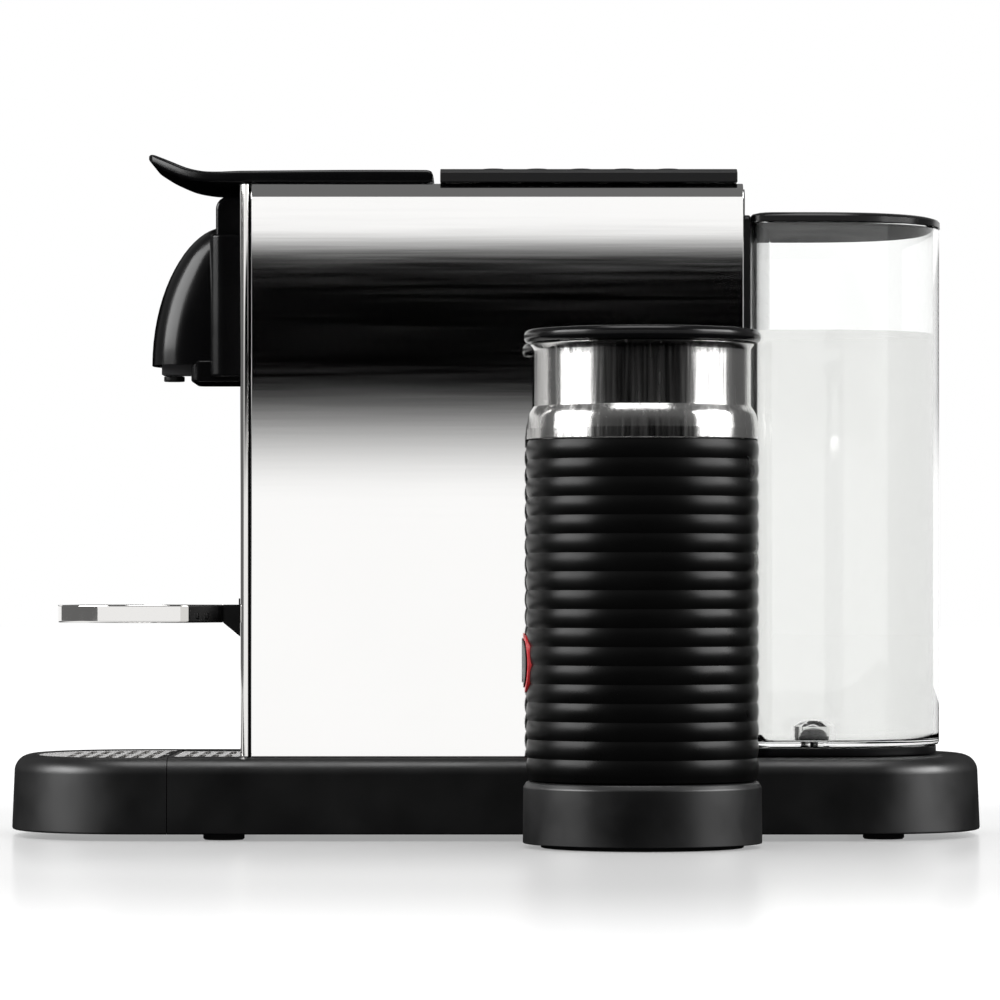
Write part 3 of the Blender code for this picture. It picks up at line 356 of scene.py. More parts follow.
def corner_arc(x, y, radius, quarter, steps):
    """A quarter circle about (x, y), counter-clockwise, that starts after so many quarter turns."""
    arc = []
    for k in range(steps + 1):
        angle = math.pi / 2 * (quarter + k / steps)
        arc.append((x + radius * math.cos(angle), y + radius * math.sin(angle)))
    return arc


def squared_arc(points, power):
    """A half turn with squarer shoulders than a circle, as shares of its half width and reach."""
    arc = []
    for k in range(points + 1):
        angle = math.pi * k / points
        across = math.copysign(abs(math.cos(angle)) ** power, math.cos(angle))
        arc.append((across, abs(math.sin(angle)) ** power))
    return arc


def rounded(x0, x1, y0, y1, radius, steps=8):
    """A rectangle with round corners, counter-clockwise."""
    outline = []
    corners = ((x1, y1), (x0, y1), (x0, y0), (x1, y0))
    for quarter, (x, y) in enumerate(corners):
        centre_x = x - math.copysign(radius, x - (x0 + x1) / 2)
        centre_y = y - math.copysign(radius, y - (y0 + y1) / 2)
        outline += corner_arc(centre_x, centre_y, radius, quarter, steps)
    return outline


def soft_block(a, b, levels, radius, edge, axis="Z", steps=4):
    """A block with round corners along an axis, and end edges rounded by a smaller radius."""
    rings = []
    low, high = levels
    for end, outward in ((low, 1), (high, -1)):
        ring_set = []
        for k in range(steps + 1):
            angle = math.pi / 2 * k / steps
            inset = edge * (1 - math.sin(angle))
            level = end + outward * edge * (1 - math.cos(angle))
            outline = rounded(a[0] + inset, a[1] - inset, b[0] + inset, b[1] - inset, radius - inset)
            ring_set.append(placed(outline, level, axis))
        rings += ring_set if outward == 1 else ring_set[::-1]
    return lofted(rings)


def turned(profile, centre, axis="Z", steps=96, closed=False):
    """A profile of (radius, height) points turned round an axis through centre."""
    shape = bmesh.new()
    verts = [shape.verts.new((radius, 0, height)) for radius, height in profile]
    edges = [shape.edges.new(pair) for pair in zip(verts, verts[1:])]
    if closed:
        edges.append(shape.edges.new((verts[-1], verts[0])))
    whole = {"cent": (0, 0, 0), "axis": (0, 0, 1), "angle": math.tau, "steps": steps, "use_merge": True}
    bmesh.ops.spin(shape, geom=verts + edges, **whole)
    finished(shape)
    quarter = math.pi / 2
    turns = {"Z": Matrix(), "Y": Matrix.Rotation(-quarter, 4, "X"), "X": Matrix.Rotation(quarter, 4, "Y")}
    bmesh.ops.transform(shape, matrix=Matrix.Translation(centre) @ turns[axis], verts=shape.verts)
    return shape


def rod(centre, axis, low, high, radius, steps=48):
    return turned([(0, low), (radius, low), (radius, high), (0, high)], centre, axis, steps)


def softened(profile, radius, steps=4, closed=False):
    """A turned profile with its corners rounded, apart from points on the axis."""
    points = [Vector(point) for point in profile]
    count = len(points)
    result = []
    for i, point in enumerate(points):
        at_end = not closed and i in (0, count - 1)
        if at_end or point.x < 1e-6:
            result.append(tuple(point))
            continue
        before = points[i - 1] - point
        after = points[(i + 1) % count] - point
        reach = min(radius, before.length * 0.45, after.length * 0.45)
        start = point + before.normalized() * reach
        end = point + after.normalized() * reach
        for k in range(steps + 1):
            t = k / steps
            result.append(tuple((1 - t) ** 2 * start + 2 * t * (1 - t) * point + t * t * end))
    return result


def smooth(points, steps):
    """A rounder run of values through the same points."""
    points = [Vector(point) for point in points]
    run = []
    for i in range(len(points) - 1):
        before = points[max(i - 1, 0)]
        here = points[i]
        there = points[i + 1]
        after = points[min(i + 2, len(points) - 1)]
        for k in range(steps):
            t = k / steps
            a = 2 * here
            b = (there - before) * t
            c = (2 * before - 5 * here + 4 * there - after) * t * t
            d = (3 * here - before - 3 * there + after) * t * t * t
            run.append((a + b + c + d) / 2)
    run.append(points[-1])
    return run


def scratch(shape):
    mesh = bpy.data.meshes.new("scratch")
    shape.to_mesh(mesh)
    shape.free()
    thing = bpy.data.objects.new("scratch", mesh)
    bpy.context.scene.collection.objects.link(thing)
    return thing


def combine(shape, operation, others):
    """A shape cut by, joined to or trimmed to others."""
    target = scratch(shape)
    things = [target]
    for other in others:
        tool = scratch(other)
        change = target.modifiers.new(operation, "BOOLEAN")
        change.operation = operation
        change.solver = "EXACT"
        change.object = tool
        things.append(tool)
    bpy.context.view_layer.update()
    result = bmesh.new()
    result.from_object(target, bpy.context.evaluated_depsgraph_get())
    for thing in things:
        bpy.data.meshes.remove(thing.data)
    return result


def cut(shape, *others):
    return combine(shape, "DIFFERENCE", others)


def join(shape, *others):
    return combine(shape, "UNION", others)


def trim(shape, *others):
    return combine(shape, "INTERSECT", others)


# ---- pieces ----


def piece(name, shape, material, body, *nodes, bevel=0.0):
    """A finished piece that rides on a body and stands for its nodes."""
    bmesh.ops.scale(shape, vec=(MM, MM, MM), verts=shape.verts)
    mesh = bpy.data.meshes.new(name)
    shape.to_mesh(mesh)
    shape.free()
    mesh.shade_smooth()
    mesh.set_sharp_from_angle(angle=math.radians(32))
    mesh.materials.append(material)
    thing = bpy.data.objects.new(name, mesh)
    bpy.context.scene.collection.objects.link(thing)
    if bevel:
        soften(thing, bevel)
    flat = thing.modifiers.new("even_flats", "WEIGHTED_NORMAL")
    flat.keep_sharp = True
    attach(thing, body)
    if nodes:
        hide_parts(*nodes)
    return thing


def soften(thing, width, segments=2):
    """A small radius on the edges that are sharper than 40 degrees."""
    bevel = thing.modifiers.new("edge_radius", "BEVEL")
    bevel.width = width * MM
    bevel.segments = segments
    bevel.limit_method = "ANGLE"
    bevel.angle_limit = math.radians(40)
    bevel.harden_normals = True


def dress(node, material, bevel=0.0):
    """A frame node that keeps its shape: its material, smooth rounds and small edge radii."""
    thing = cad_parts[node]
    thing.data.materials.clear()
    thing.data.materials.append(material)
    weld = thing.modifiers.new("weld", "WELD")
    weld.merge_threshold = 0.00001
    if bevel:
        soften(thing, bevel, 1)
    else:
        thing.data.shade_smooth()
        split = thing.modifiers.new("crisp_edges", "EDGE_SPLIT")
        split.split_angle = math.radians(32)


# ---- base ----


def base_ring(inset, z, points=44):
    """One level outline of the base, inset from its foot line."""
    half_width = (HOUSING.x1 - HOUSING.x0) / 2 - inset
    half_length = (HOUSING.y1 - TRAY.y0) / 2
    straight = half_length - BASE_END_REACH
    reach = BASE_END_REACH - inset
    ring = []
    for side in (1, -1):
        for across, along in squared_arc(points, 2 / BASE_END_POWER):
            ring.append((MIDDLE_X + side * half_width * across, side * (straight + reach * along), z))
    return ring


def base_solid():
    """The base's outside: a fine bevel at its foot, drafted sides and a rounded top edge."""
    edge_start = HOUSING.z1 - BASE_EDGE_RADIUS
    rings = [base_ring(0.7, HOUSING.z0), base_ring(0.2, HOUSING.z0 + 0.2), base_ring(0, HOUSING.z0 + 0.8)]
    steps = 12
    for k in range(steps + 1):
        angle = math.pi / 2 * k / steps
        inset = BASE_DRAFT + BASE_EDGE_RADIUS * (1 - math.cos(angle))
        rings.append(base_ring(inset, edge_start + BASE_EDGE_RADIUS * math.sin(angle)))
    return lofted(rings)


def ahead_of(y):
    return block((-80, 80), (-220, y), (-5, 60))


def behind(y):
    return block((-80, 80), (y, 220), (-5, 60))


def make_base_housing():
    floor = HOUSING.z0
    pocket = lofted([base_ring(BASE_WALL, floor - 1), base_ring(BASE_WALL, floor + 2.6)])
    levels = ((BASE_WALL, floor + 2.4), (3.4, 24.5), (7.2, HOUSING.z1 - BASE_WALL))
    inside = lofted([base_ring(*level) for level in levels])
    wall = CHANNEL_HALF_WIDTH + BASE_WALL
    inside = cut(inside, block((-wall, wall), (-220, CHANNEL_END_Y + BASE_WALL), (-5, 60)))
    inside = cut(inside, ahead_of(HOUSING.y0 + BASE_WALL))
    channel = block((-CHANNEL_HALF_WIDTH, CHANNEL_HALF_WIDTH), (-150, CHANNEL_END_Y), (-1, 60))
    bridge = prism([(14, 39.7), (26, 39.7), (26, 70.3), (14, 70.3)], 5.2, 22.3)
    inlet = block((-70, -52), (99.7, 128.3), (8.2, 25.3))
    seat_hole = rod(VALVE_PLACE, "Z", 20, 40, 4.5)
    pump_hole = rod((MIDDLE_X - 20, 60, 0), "Z", 20, 40, 5)
    solid = cut(base_solid(), ahead_of(HOUSING.y0), pocket, inside, channel)
    solid = cut(solid, bridge, inlet, seat_hole, pump_hole)
    piece("base_housing_fine", solid, BASE_BLACK, "machine", "base_housing")


def make_drip_tray():
    basin = lofted([base_ring(4, 7), base_ring(4.6, 20), base_ring(12.4, 27), base_ring(12.4, 29)])
    basin = cut(basin, behind(SEAM_Y - 5.2))
    ledge = cut(lofted([base_ring(9.4, 28.5), base_ring(9.4, 45)]), behind(SEAM_Y - 1.9))
    tray = cut(base_solid(), behind(SEAM_Y), basin, ledge)
    tongue = block((-41.5, 41.5), (SEAM_Y - 3, TRAY.y1), (5.2, 8.5))
    ribs = both_sides((37.5, 40.5), (SEAM_Y - 1, -100.2), (7.5, 28.5))
    piece("drip_tray_fine", join(tray, tongue, ribs), BASE_BLACK, "tray_unit", "drip_tray")


def grid_slots(first_y, count, half_of):
    """Pairs of slots with round ends, either side of the middle web."""
    slots = []
    for k in range(count):
        y = first_y + SLOT_PITCH * k
        half = half_of(y)
        for x0, x1 in ((SLOT_WEB_HALF, half), (-half, -SLOT_WEB_HALF)):
            outline = rounded(MIDDLE_X + x0, MIDDLE_X + x1, y, y + SLOT_WIDTH, SLOT_WIDTH / 2 - 0.01, 5)
            slots.append(prism(outline, 20, 40))
    return several(slots)


def make_grids():
    grid = box("drip_grid")
    rings = [base_ring(9.8, grid.z0), base_ring(9.8, grid.z1 - 0.6), base_ring(9.95, grid.z1 - 0.2)]
    rings.append(base_ring(10.4, grid.z1))
    plate = cut(lofted(rings), behind(grid.y1))
    first = grid.y0 + 13.4
    slots = grid_slots(first, 8, lambda y: min(44.0, 29.6 + 14.4 * ((y - first) / 18) ** 0.7))
    piece("drip_grid_fine", cut(plate, slots), BRUSHED, "drip_grid", "drip_grid")
    rear = box("rear_grid")
    plate = soft_block((rear.x0, rear.x1), (rear.y0, rear.y1), (rear.z0, rear.z1), 1.0, 0.5)
    plate = cut(plate, grid_slots(rear.y0 + 4.4, 4, lambda y: 36.0))
    piece("rear_grid_fine", plate, BRUSHED, "tray_unit", "rear_grid")


# ---- column ----


def shell_outline(inset, steps=12):
    """The column's outline from the front, with round top corners, open at the bottom."""
    half = (SHELL.x1 - SHELL.x0) / 2 - inset
    top = SHELL.z1 - inset
    radius = SHELL_EDGE_RADIUS - inset
    outline = [(MIDDLE_X + half, SHELL.z0)]
    for quarter, side in ((0, 1), (1, -1)):
        outline += corner_arc(MIDDLE_X + side * (half - radius), top - radius, radius, quarter, steps)
    outline.append((MIDDLE_X - half, SHELL.z0))
    return outline


def make_body_shell():
    """The chrome sheet bent round the column, with the openings in its top."""
    outer = shell_outline(0)
    outline = outer + shell_outline(SHELL_SHEET)[::-1]
    shape = bmesh.new()
    ends = [[shape.verts.new((x, y, z)) for x, z in outline] for y in (SHELL.y0, SHELL.y1)]
    total = len(outline)
    for i in range(total):
        j = (i + 1) % total
        shape.faces.new((ends[0][i], ends[0][j], ends[1][j], ends[1][i]))
    for ring in ends:
        for i in range(len(outer) - 1):
            shape.faces.new((ring[i], ring[i + 1], ring[total - 2 - i], ring[total - 1 - i]))
    top = (SHELL.z1 - 13, SHELL.z1 + 7)
    pod_hole = prism(rounded(MIDDLE_X - 20.5, MIDDLE_X + 20.5, -80.5, -52, 8), *top)
    slots = [both_sides((23.2, 27.4), (-48, -22.8), top), both_sides((31.2, 36.8), (-30, -24), top)]
    slots.append(block((-7, 7), (-8, 76), top))
    shape = cut(finished(shape), pod_hole, *slots)
    piece("body_shell_fine", shape, CHROME, "machine", "body_shell", bevel=0.25)


def make_front_frame():
    """The metal front with rounded upright edges, around the sliding panel."""
    radius = FRAME_EDGE_RADIUS
    outline = [(FRAME.x1, FRAME.y1), (FRAME.x0, FRAME.y1)]
    for quarter, x in ((2, FRAME.x0 + radius), (3, FRAME.x1 - radius)):
        outline += corner_arc(x, FRAME.y0 + radius, radius, quarter, 10)
    shape = prism(outline, FRAME.z0, FRAME.z1)
    shape = cut(shape, block((-42.2, 42.2), (-110, -90), (20, PANEL.z1 + 1)))
    shape = cut(shape, block((-12, 12), (-110, -90), (178.5, 201)))
    piece("front_frame_fine", shape, POLISHED, "machine", "front_frame", bevel=0.2)


def dot(x, face, z):
    """A small raised square with soft edges."""
    rings = []
    for out, half in ((1.0, 1.7), (-0.35, 1.35), (-DOT_HEIGHT + 0.15, 1.15), (-DOT_HEIGHT, 0.8)):
        outline = rounded(x - half, x + half, z - half, z + half, half * 0.45, 3)
        rings.append(placed(outline, face + out, "Y"))
    return lofted(rings)


def make_front_panel():
    """The sliding panel, with a field of dots that leaves room for the cup support's bracket."""
    face = FRAME.y0 + 0.1
    panel = block((-41.5, 41.5), (face, PANEL.y1), (PANEL.z0, PANEL.z1))
    dots = []
    for row in range(DOT_ROWS):
        z = DOT_LOWEST_Z + DOT_PITCH_Z * row
        for column in range(DOT_COLUMNS):
            across = DOT_PITCH_X * (column - (DOT_COLUMNS - 1) / 2)
            behind_bracket = abs(across) < 18 and 74 < z < 95
            if not behind_bracket:
                dots.append(dot(MIDDLE_X + across, face, z))
    piece("front_panel_fine", join(panel, several(dots)), SATIN_BLACK, "tray_unit", "front_panel")


def make_cup_support():
    """A steel disc with a raised rim and fine turned rings, on a knuckle for its hinge pin."""
    radius = (SUPPORT.x1 - SUPPORT.x0) / 2
    centre = (MIDDLE_X, SUPPORT.y0 + radius, 0)
    low, high = SUPPORT.z0, SUPPORT.z1
    plate = high - 0.8
    rim = [(radius - 2.6, low), (radius, low), (radius, high), (radius - 3, high), (radius - 3, plate)]
    profile = [(0, low + 0.6), (radius - 3, low + 0.6), (radius - 2.6, low)]
    profile += softened(rim, 0.7)
    for groove in range(8):
        at = radius - 6 - 3.4 * groove
        profile += [(at, plate), (at - 0.3, high - 1.0), (at - 0.9, high - 1.0), (at - 1.2, plate)]
    profile.append((0, plate))
    disc = cut(turned(profile, centre, steps=128), block((-16, 16), (-109, -90), (70, 100)))
    pin = box("cup_hinge_pin")
    pin_z = (pin.z0 + pin.z1) / 2
    knuckle = rounded(-114, SUPPORT.y1, pin_z - 3.3, pin_z + 3.2, 3.2)
    knuckle = prism(knuckle, MIDDLE_X - 9, MIDDLE_X + 9, "X")
    hole = rod((MIDDLE_X, middle_y(pin), pin_z), "X", -20, 20, PIN_RADIUS + 0.3)
    piece("cup_support_fine", cut(join(disc, knuckle), hole), POLISHED, "cup_support", "cup_support")


def make_rear_panel():
    """The black back plate, with a field of vent slots above the tank's seat."""
    panel = box("rear_panel")
    plug = prism(shell_outline(SHELL_SHEET + 0.6), panel.y0, panel.y0 + 3.6, "Y")
    plate = soft_block((MIDDLE_X - 50, MIDDLE_X + 50), (32.4, 241), (95, panel.y1), 3, 0.8, "Y")
    vents = []
    for row in range(6):
        z = 196 + 5.5 * row
        slot = rounded(MIDDLE_X - 22, MIDDLE_X + 22, z, z + 2, 0.99, 4)
        vents.append(prism(slot, panel.y1 - 1.2, panel.y1 + 2, "Y"))
    piece("rear_panel_fine", cut(join(plug, plate), several(vents)), SATIN_BLACK, "machine", "rear_panel")


def crown_outline(x0, x1, low, edge_top, corner):
    """A section with a flat bottom and a gently crowned top."""
    half = (x1 - x0) / 2
    outline = [(x0, low), (x1, low)]
    for k in range(25):
        across = 1 - k / 12
        past_corner = max(0.0, (abs(across) * half - half + corner) / corner)
        drop = corner * (1 - math.sqrt(max(0.0, 1 - past_corner**2)))
        outline.append(((x0 + x1) / 2 + half * across, edge_top + CROWN * (1 - across * across) - drop))
    return outline


def make_top_cover():
    """The crowned cover, with holes for the keys and the light."""
    edge_top = COVER.z1 - CROWN
    shape = prism(crown_outline(COVER.x0, COVER.x1, COVER.z0, edge_top, 1.2), COVER.y0, COVER.y1, "Y")
    inside = block((-50, 50), (COVER.y0 + 2.5, COVER.y1 - 2.5), (250, COVER.z0 + 2.2))
    buttons = [box(f"button_{number}") for number in range(1, 6)]
    holes = [prism(pill(middle_y(button), 11.35, 5.35), 240, 270) for button in buttons]
    holes.append(rod((MIDDLE_X, middle_y(box("status_light")), 0), "Z", 240, 270, 2.8))
    piece("top_cover_fine", cut(shape, inside, *holes), GLOSS_BLACK, "machine", "top_cover", bevel=0.3)


def pill(y, half_length, half_width, steps=12):
    """An outline with round ends, across the middle at y."""
    x0, x1 = MIDDLE_X - half_length, MIDDLE_X + half_length
    return rounded(x0, x1, y - half_width, y + half_width, half_width - 0.01, steps)


def make_buttons():
    """Pill-shaped keys with a shallow dish for the finger."""
    for number in range(1, 6):
        name = f"button_{number}"
        node = box(name)
        y = middle_y(node)
        top = node.z1
        levels = ((0, 254.9), (0, top - BUTTON_EDGE), (0.12, top - 0.45), (0.45, top - 0.12))
        levels += ((BUTTON_EDGE, top), (1.6, top - 0.06), (2.6, top - 0.3), (3.7, top - 0.45))
        key = lofted([placed(pill(y, 11 - inset, 5 - inset), z, "Z") for inset, z in levels])
        flange = prism(pill(y, 12.2, 6.2), 254.6, 255.2)
        stem = rod((MIDDLE_X, y, 0), "Z", node.z0, 255, 2)
        piece(f"{name}_fine", join(key, flange, stem), SATIN_BLACK, name, name)


def make_status_light():
    light = box("status_light")
    profile = softened([(0, light.z0), (2.5, light.z0), (2.5, light.z1), (0, light.z1)], 0.7)
    lens = turned(profile, (MIDDLE_X, middle_y(light), 0), steps=48)
    piece("status_light_fine", lens, LENS, "machine", "status_light")


# ---- lever and brew head ----

# The lever's stations from its tip back: y, underside, top edge, half width
LEVER_TIP = (
    (-135.4, 264.2, 265.4, 25.0),
    (-134.2, 262.6, 265.7, 29.0),
    (-130.5, 260.2, 264.3, 32.0),
    (-126.7, 258.2, 262.7, 34.5),
    (-120.0, 255.6, 260.0, 38.0),
    (-113.2, 254.5, 258.5, 41.0),
    (-106.5, 254.2, 258.2, 43.0),
)
LEVER_ROOT = (
    (-99.0, 253.8, 258.4, 44.5),
    (-60.0, 253.4, 258.6, 46.0),
    (-32.0, 253.4, 258.6, 46.0),
    (-25.9, 253.6, 258.4, 46.0),
    (-24.6, 254.6, 257.2, 46.0),
)


def lever_ring(y, low, high, half):
    """One section of the lever: round edges, a flat underside and a crowned top."""
    corner = min(1.3, (high - low) * 0.3)
    outline = rounded(-half, half, low, high, corner, 4)
    across_top = [((half - corner) * (1 - k / 10), high) for k in range(1, 20)]
    ring = []
    for x, z in outline[:5] + across_top + outline[5:]:
        rise = CROWN * (1 - (x / half) ** 2) if z > (low + high) / 2 else 0
        ring.append((MIDDLE_X + x, y, z + rise))
    return ring


def make_lever():
    """The lever with its two arms below, and the pins on them that move the carriage."""
    stations = smooth(LEVER_TIP, 5) + smooth(LEVER_ROOT, 3)
    shape = lofted([lever_ring(*station) for station in stations])
    pin_z = LEVER_PIVOT_Z - LEVER_ARM
    arm_y = (LEVER_PIVOT_Y - 2.4, LEVER_PIVOT_Y + 2.2)
    arms = both_sides((24.0, 26.6), arm_y, (pin_z - 2.4, 253.9))
    centre = (MIDDLE_X, LEVER_PIVOT_Y, pin_z)
    pins = several([rod(centre, "X", 25, 29.9, PIN_RADIUS), rod(centre, "X", -29.9, -25, PIN_RADIUS)])
    bore = rod((MIDDLE_X, LEVER_PIVOT_Y, LEVER_PIVOT_Z), "X", -38.6, 38.6, PIN_RADIUS)
    shape = cut(shape, both_sides((31.0, 37.0), (-31.4, -20), (245, 270)), bore)
    piece("lever_fine", join(shape, arms, pins), GLOSS_BLACK, "lever", "lever")


HOOD_FOOT_Z = 184.6
HOOD_HEIGHT = 53.5
HOOD_BACK_Y = -110.0  # where the hood's curve has run out
HOOD_HALF_WIDTH = 23.5
HOOD_POWER = 0.8


def hood_ring(z, points=28):
    """A level outline of the hood: a rounded front and straight cheeks back to the column."""
    share = (z - HOOD_FOOT_Z) / (HOOD_HEIGHT + 0.1)
    front_y = HOOD_BACK_Y + (HEAD.y0 - HOOD_BACK_Y) * (1 - share * share) ** 0.6
    back = FRAME.y0 + 6
    depth = back - front_y
    straight = max(depth - HOOD_HALF_WIDTH * 0.9, depth * 0.4)
    ring = [(MIDDLE_X + HOOD_HALF_WIDTH, back, z)]
    for across, along in squared_arc(points, HOOD_POWER):
        y = back - straight - (depth - straight) * along
        ring.append((MIDDLE_X + HOOD_HALF_WIDTH * across, y, z))
    ring.append((MIDDLE_X - HOOD_HALF_WIDTH, back, z))
    return ring


def make_brew_head():
    """The hood over the outlet, with a wider collar and cap where it meets the column."""
    levels = 18
    rises = [HOOD_HEIGHT * math.sin(math.pi / 2 * k / levels) for k in range(levels + 1)]
    hood = lofted([hood_ring(HOOD_FOOT_Z + rise) for rise in rises])
    back = HEAD.y1
    collar = soft_block((MIDDLE_X - 29, MIDDLE_X + 29), (-111.8, back + 8), (179.3, 235.1), 6, 1.2)
    cap = soft_block((-109.4, back + 8), (225, HEAD.z1), (MIDDLE_X - 25, MIDDLE_X + 25), 5, 1.5, "X")
    plate = soft_block((MIDDLE_X - 24, MIDDLE_X + 24), (-119.2, back + 8), (HEAD.z0, 186), 4, 1.0)
    column = block((-60, 60), (back, -80), (150, 270))
    duct_room = block((-12, 12), (-132, -90), (180.6, 200.5))
    outlet = rod((MIDDLE_X, -127, 0), "Z", 170, 190, 4.5)
    shape = cut(join(hood, collar, cap, plate), column, duct_room)
    shape = cut(shape, outlet)
    piece("brew_head_fine", shape, GLOSS_BLACK, "machine", "brew_head")


def make_nozzle():
    nozzle = box("nozzle")
    outer = (nozzle.x1 - nozzle.x0) / 2
    profile = [(2.0, nozzle.z0), (outer, nozzle.z0), (outer, nozzle.z1), (2.0, nozzle.z1)]
    centre = (MIDDLE_X, middle_y(nozzle), 0)
    shape = turned(softened(profile, 0.5, closed=True), centre, steps=64, closed=True)
    piece("nozzle_fine", shape, SATIN_BLACK, "machine", "nozzle")


# ---- tank ----


def tank_ring(inset, z, points=40):
    """A level outline of the tank: flat towards the column, rounded behind."""
    half = (TANK.x1 - TANK.x0) / 2 - inset
    front = TANK.y0 + inset
    arc_y = TANK.y1 - TANK_ARC_REACH
    outline = []
    for across, along in squared_arc(points, TANK_ARC_POWER):
        outline.append((MIDDLE_X + half * across, arc_y + (TANK_ARC_REACH - inset) * along))
    for quarter, x in ((2, MIDDLE_X - half + TANK_CORNER), (3, MIDDLE_X + half - TANK_CORNER)):
        outline += corner_arc(x, front + TANK_CORNER, TANK_CORNER, quarter, 8)
    return placed(outline, z, "Z")


def make_water_tank():
    """Clear walls and floor with a rounded foot, an open top, and a spigot for the valve."""
    floor = TANK_FLOOR_Z
    rim = TANK.z1
    levels = [(1.8, floor), (0.5, floor + 0.4), (0, floor + 1.6), (0, rim - 0.4), (0.3, rim)]
    levels += [(TANK_WALL - 0.3, rim), (TANK_WALL, rim - 0.4), (TANK_WALL, floor + 5), (3.2, floor + 2.3)]
    rings = [tank_ring(*level) for level in levels]
    spigot = rod(VALVE_PLACE, "Z", TANK.z0, floor + 1, 7.5)
    hole = rod(VALVE_PLACE, "Z", TANK.z0 - 3, floor + 5, 5)
    shape = cut(join(lofted(rings), spigot), hole)
    piece("water_tank_fine", shape, TANK_CLEAR, "water_tank", "water_tank")


def make_water():
    """The water in the tank, clear of its walls and of the valve's rise."""
    away = TANK_WALL + 0.15
    levels = ((3.5, TANK_FLOOR_Z + 2.8), (away, TANK_FLOOR_Z + 5.3), (away, WATER_TOP))
    rings = [tank_ring(*level) for level in levels]
    hollow = [(0, 36), (7.7, 36), (7.7, 42.8), (4.9, 45.0), (0, 45.7)]
    shape = cut(lofted(rings), turned(hollow, VALVE_PLACE))
    piece("water", shape, WATER, "water_tank")


def make_tank_foot():
    """The black foot under the clear tank, open around the seat."""
    plate = lofted([tank_ring(1.6, 32.3), tank_ring(1.2, 33.1), tank_ring(1.2, 35.2)])
    plate = cut(plate, rod(VALVE_PLACE, "Z", 20, 50, 12))
    piece("tank_foot", plate, SATIN_BLACK, "water_tank")


def make_tank_lid():
    """The lid's domed top, and the rubber plug below it that fits inside the walls."""
    low, high = TANK_LID.z0, TANK_LID.z1
    levels = ((-0.3, 238.3), (-0.3, high - 1.6), (0.3, high - 0.9), (2.6, high - 0.2), (6, high))
    top = lofted([tank_ring(*level) for level in levels])
    piece("tank_lid_fine", top, GLOSS_BLACK, "tank_lid", "tank_lid")
    levels = ((TANK_WALL + 1.0, low), (TANK_WALL + 0.5, low + 0.5), (TANK_WALL + 0.5, 239))
    piece("tank_lid_plug", lofted([tank_ring(*level) for level in levels]), RUBBER, "tank_lid")


def make_valve_and_seat():
    valve = [(0, 34.3), (2, 34.3), (2, 38.1), (7.2, 38.1), (7.2, 39.4), (4.5, 41.5), (0, 42.2)]
    shape = turned(softened(valve, 0.6), VALVE_PLACE)
    piece("tank_valve_fine", shape, SATIN_BLACK, "tank_valve", "tank_valve")
    seat = [(2.4, 18), (4, 18), (4, 32.1), (10.5, 32.1), (10.5, 35.1), (8, 35.1), (8, 33.3), (2.4, 33.3)]
    shape = turned(softened(seat, 0.4, closed=True), VALVE_PLACE, closed=True)
    piece("tank_seat_fine", shape, RUBBER, "machine", "tank_seat")


# ---- frother ----


def jug(profile, closed=False, soft=0.4, steps=128):
    """A part turned round the frother's axis."""
    return turned(softened(profile, soft, closed=closed), FROTHER_AXIS, steps=steps, closed=closed)


def make_plinth():
    """The frother's stand, bridged to the base, and the round connector in its middle."""
    outer = PLINTH.x1 - FROTHER_X
    top = PLINTH.z1
    profile = [(42.3, 2.0), (outer, PLINTH.z0), (outer - 0.2, 22.6), (outer - 1.2, 24.4)]
    profile += [(outer - 2.2, top), (12.6, top), (12.6, 22.2), (42.0, 22.2)]
    bridge = prism([(15, 40), (24, 40), (24, 70), (15, 70)], 5.5, 22)
    shape = join(jug(profile, True), bridge)
    piece("frother_plinth_fine", shape, BASE_BLACK, "machine", "frother_plinth")
    floor = [(0, 2.2), (41.6, 2.2), (41.6, 4.2), (12, 4.2), (12, 25), (10, 27.6), (0, 27.6)]
    piece("frother_connector_fine", jug(floor), SATIN_BLACK, "machine", "frother_connector")


def make_sleeve():
    """The ribbed sleeve: round ribs with narrow valleys between them."""
    radius = (SLEEVE.y1 - SLEEVE.y0) / 2
    groove = radius - SLEEVE_GROOVE
    low, high = SLEEVE.z0, SLEEVE.z1
    pitch = (high - low - 2) / SLEEVE_RIBS
    first = low + 1.6
    profile = [(0, 28.2), (12.8, 28.2), (12.8, low), (groove - 1.2, low), (groove - 0.3, low + 0.3)]
    profile.append((groove, first))
    steps = 8
    for rib in range(SLEEVE_RIBS):
        for k in range(1, steps + 1):
            height = SLEEVE_GROOVE * abs(math.sin(math.pi * k / steps)) ** 0.75
            profile.append((groove + height, first + pitch * (rib + k / steps)))
    profile += [(groove, high - 0.3), (groove - 0.3, high), (40.8, high), (40.8, 31), (0, 31)]
    shape = turned(profile, FROTHER_AXIS, steps=128)
    hole = rod((FROTHER_X, 0, RING_Z), "Y", 5, 20, 11, 64)
    piece("frother_sleeve_fine", cut(shape, hole), RIB_BLACK, "frother_jug", "frother_sleeve")


def make_frother_button():
    """The button and the red ring around it, both following the sleeve's round side."""
    ring = [(9.1, 5), (10.7, 5), (10.7, 14.6), (9.1, 14.6)]
    band = turned(ring, (FROTHER_X, 0, RING_Z), "Y", 96, True)
    band = trim(band, rod(FROTHER_AXIS, "Z", 50, 90, 44.1, 256))
    piece("button_ring_fine", band, RED, "frother_jug", "button_ring")
    cap = rod((FROTHER_X, 0, RING_Z), "Y", 5, 13.6, 8.7, 96)
    cap = trim(cap, rod(FROTHER_AXIS, "Z", 50, 90, 44.6, 256))
    piece("frother_button_fine", cap, RIB_BLACK, "frother_button", "frother_button", bevel=0.3)


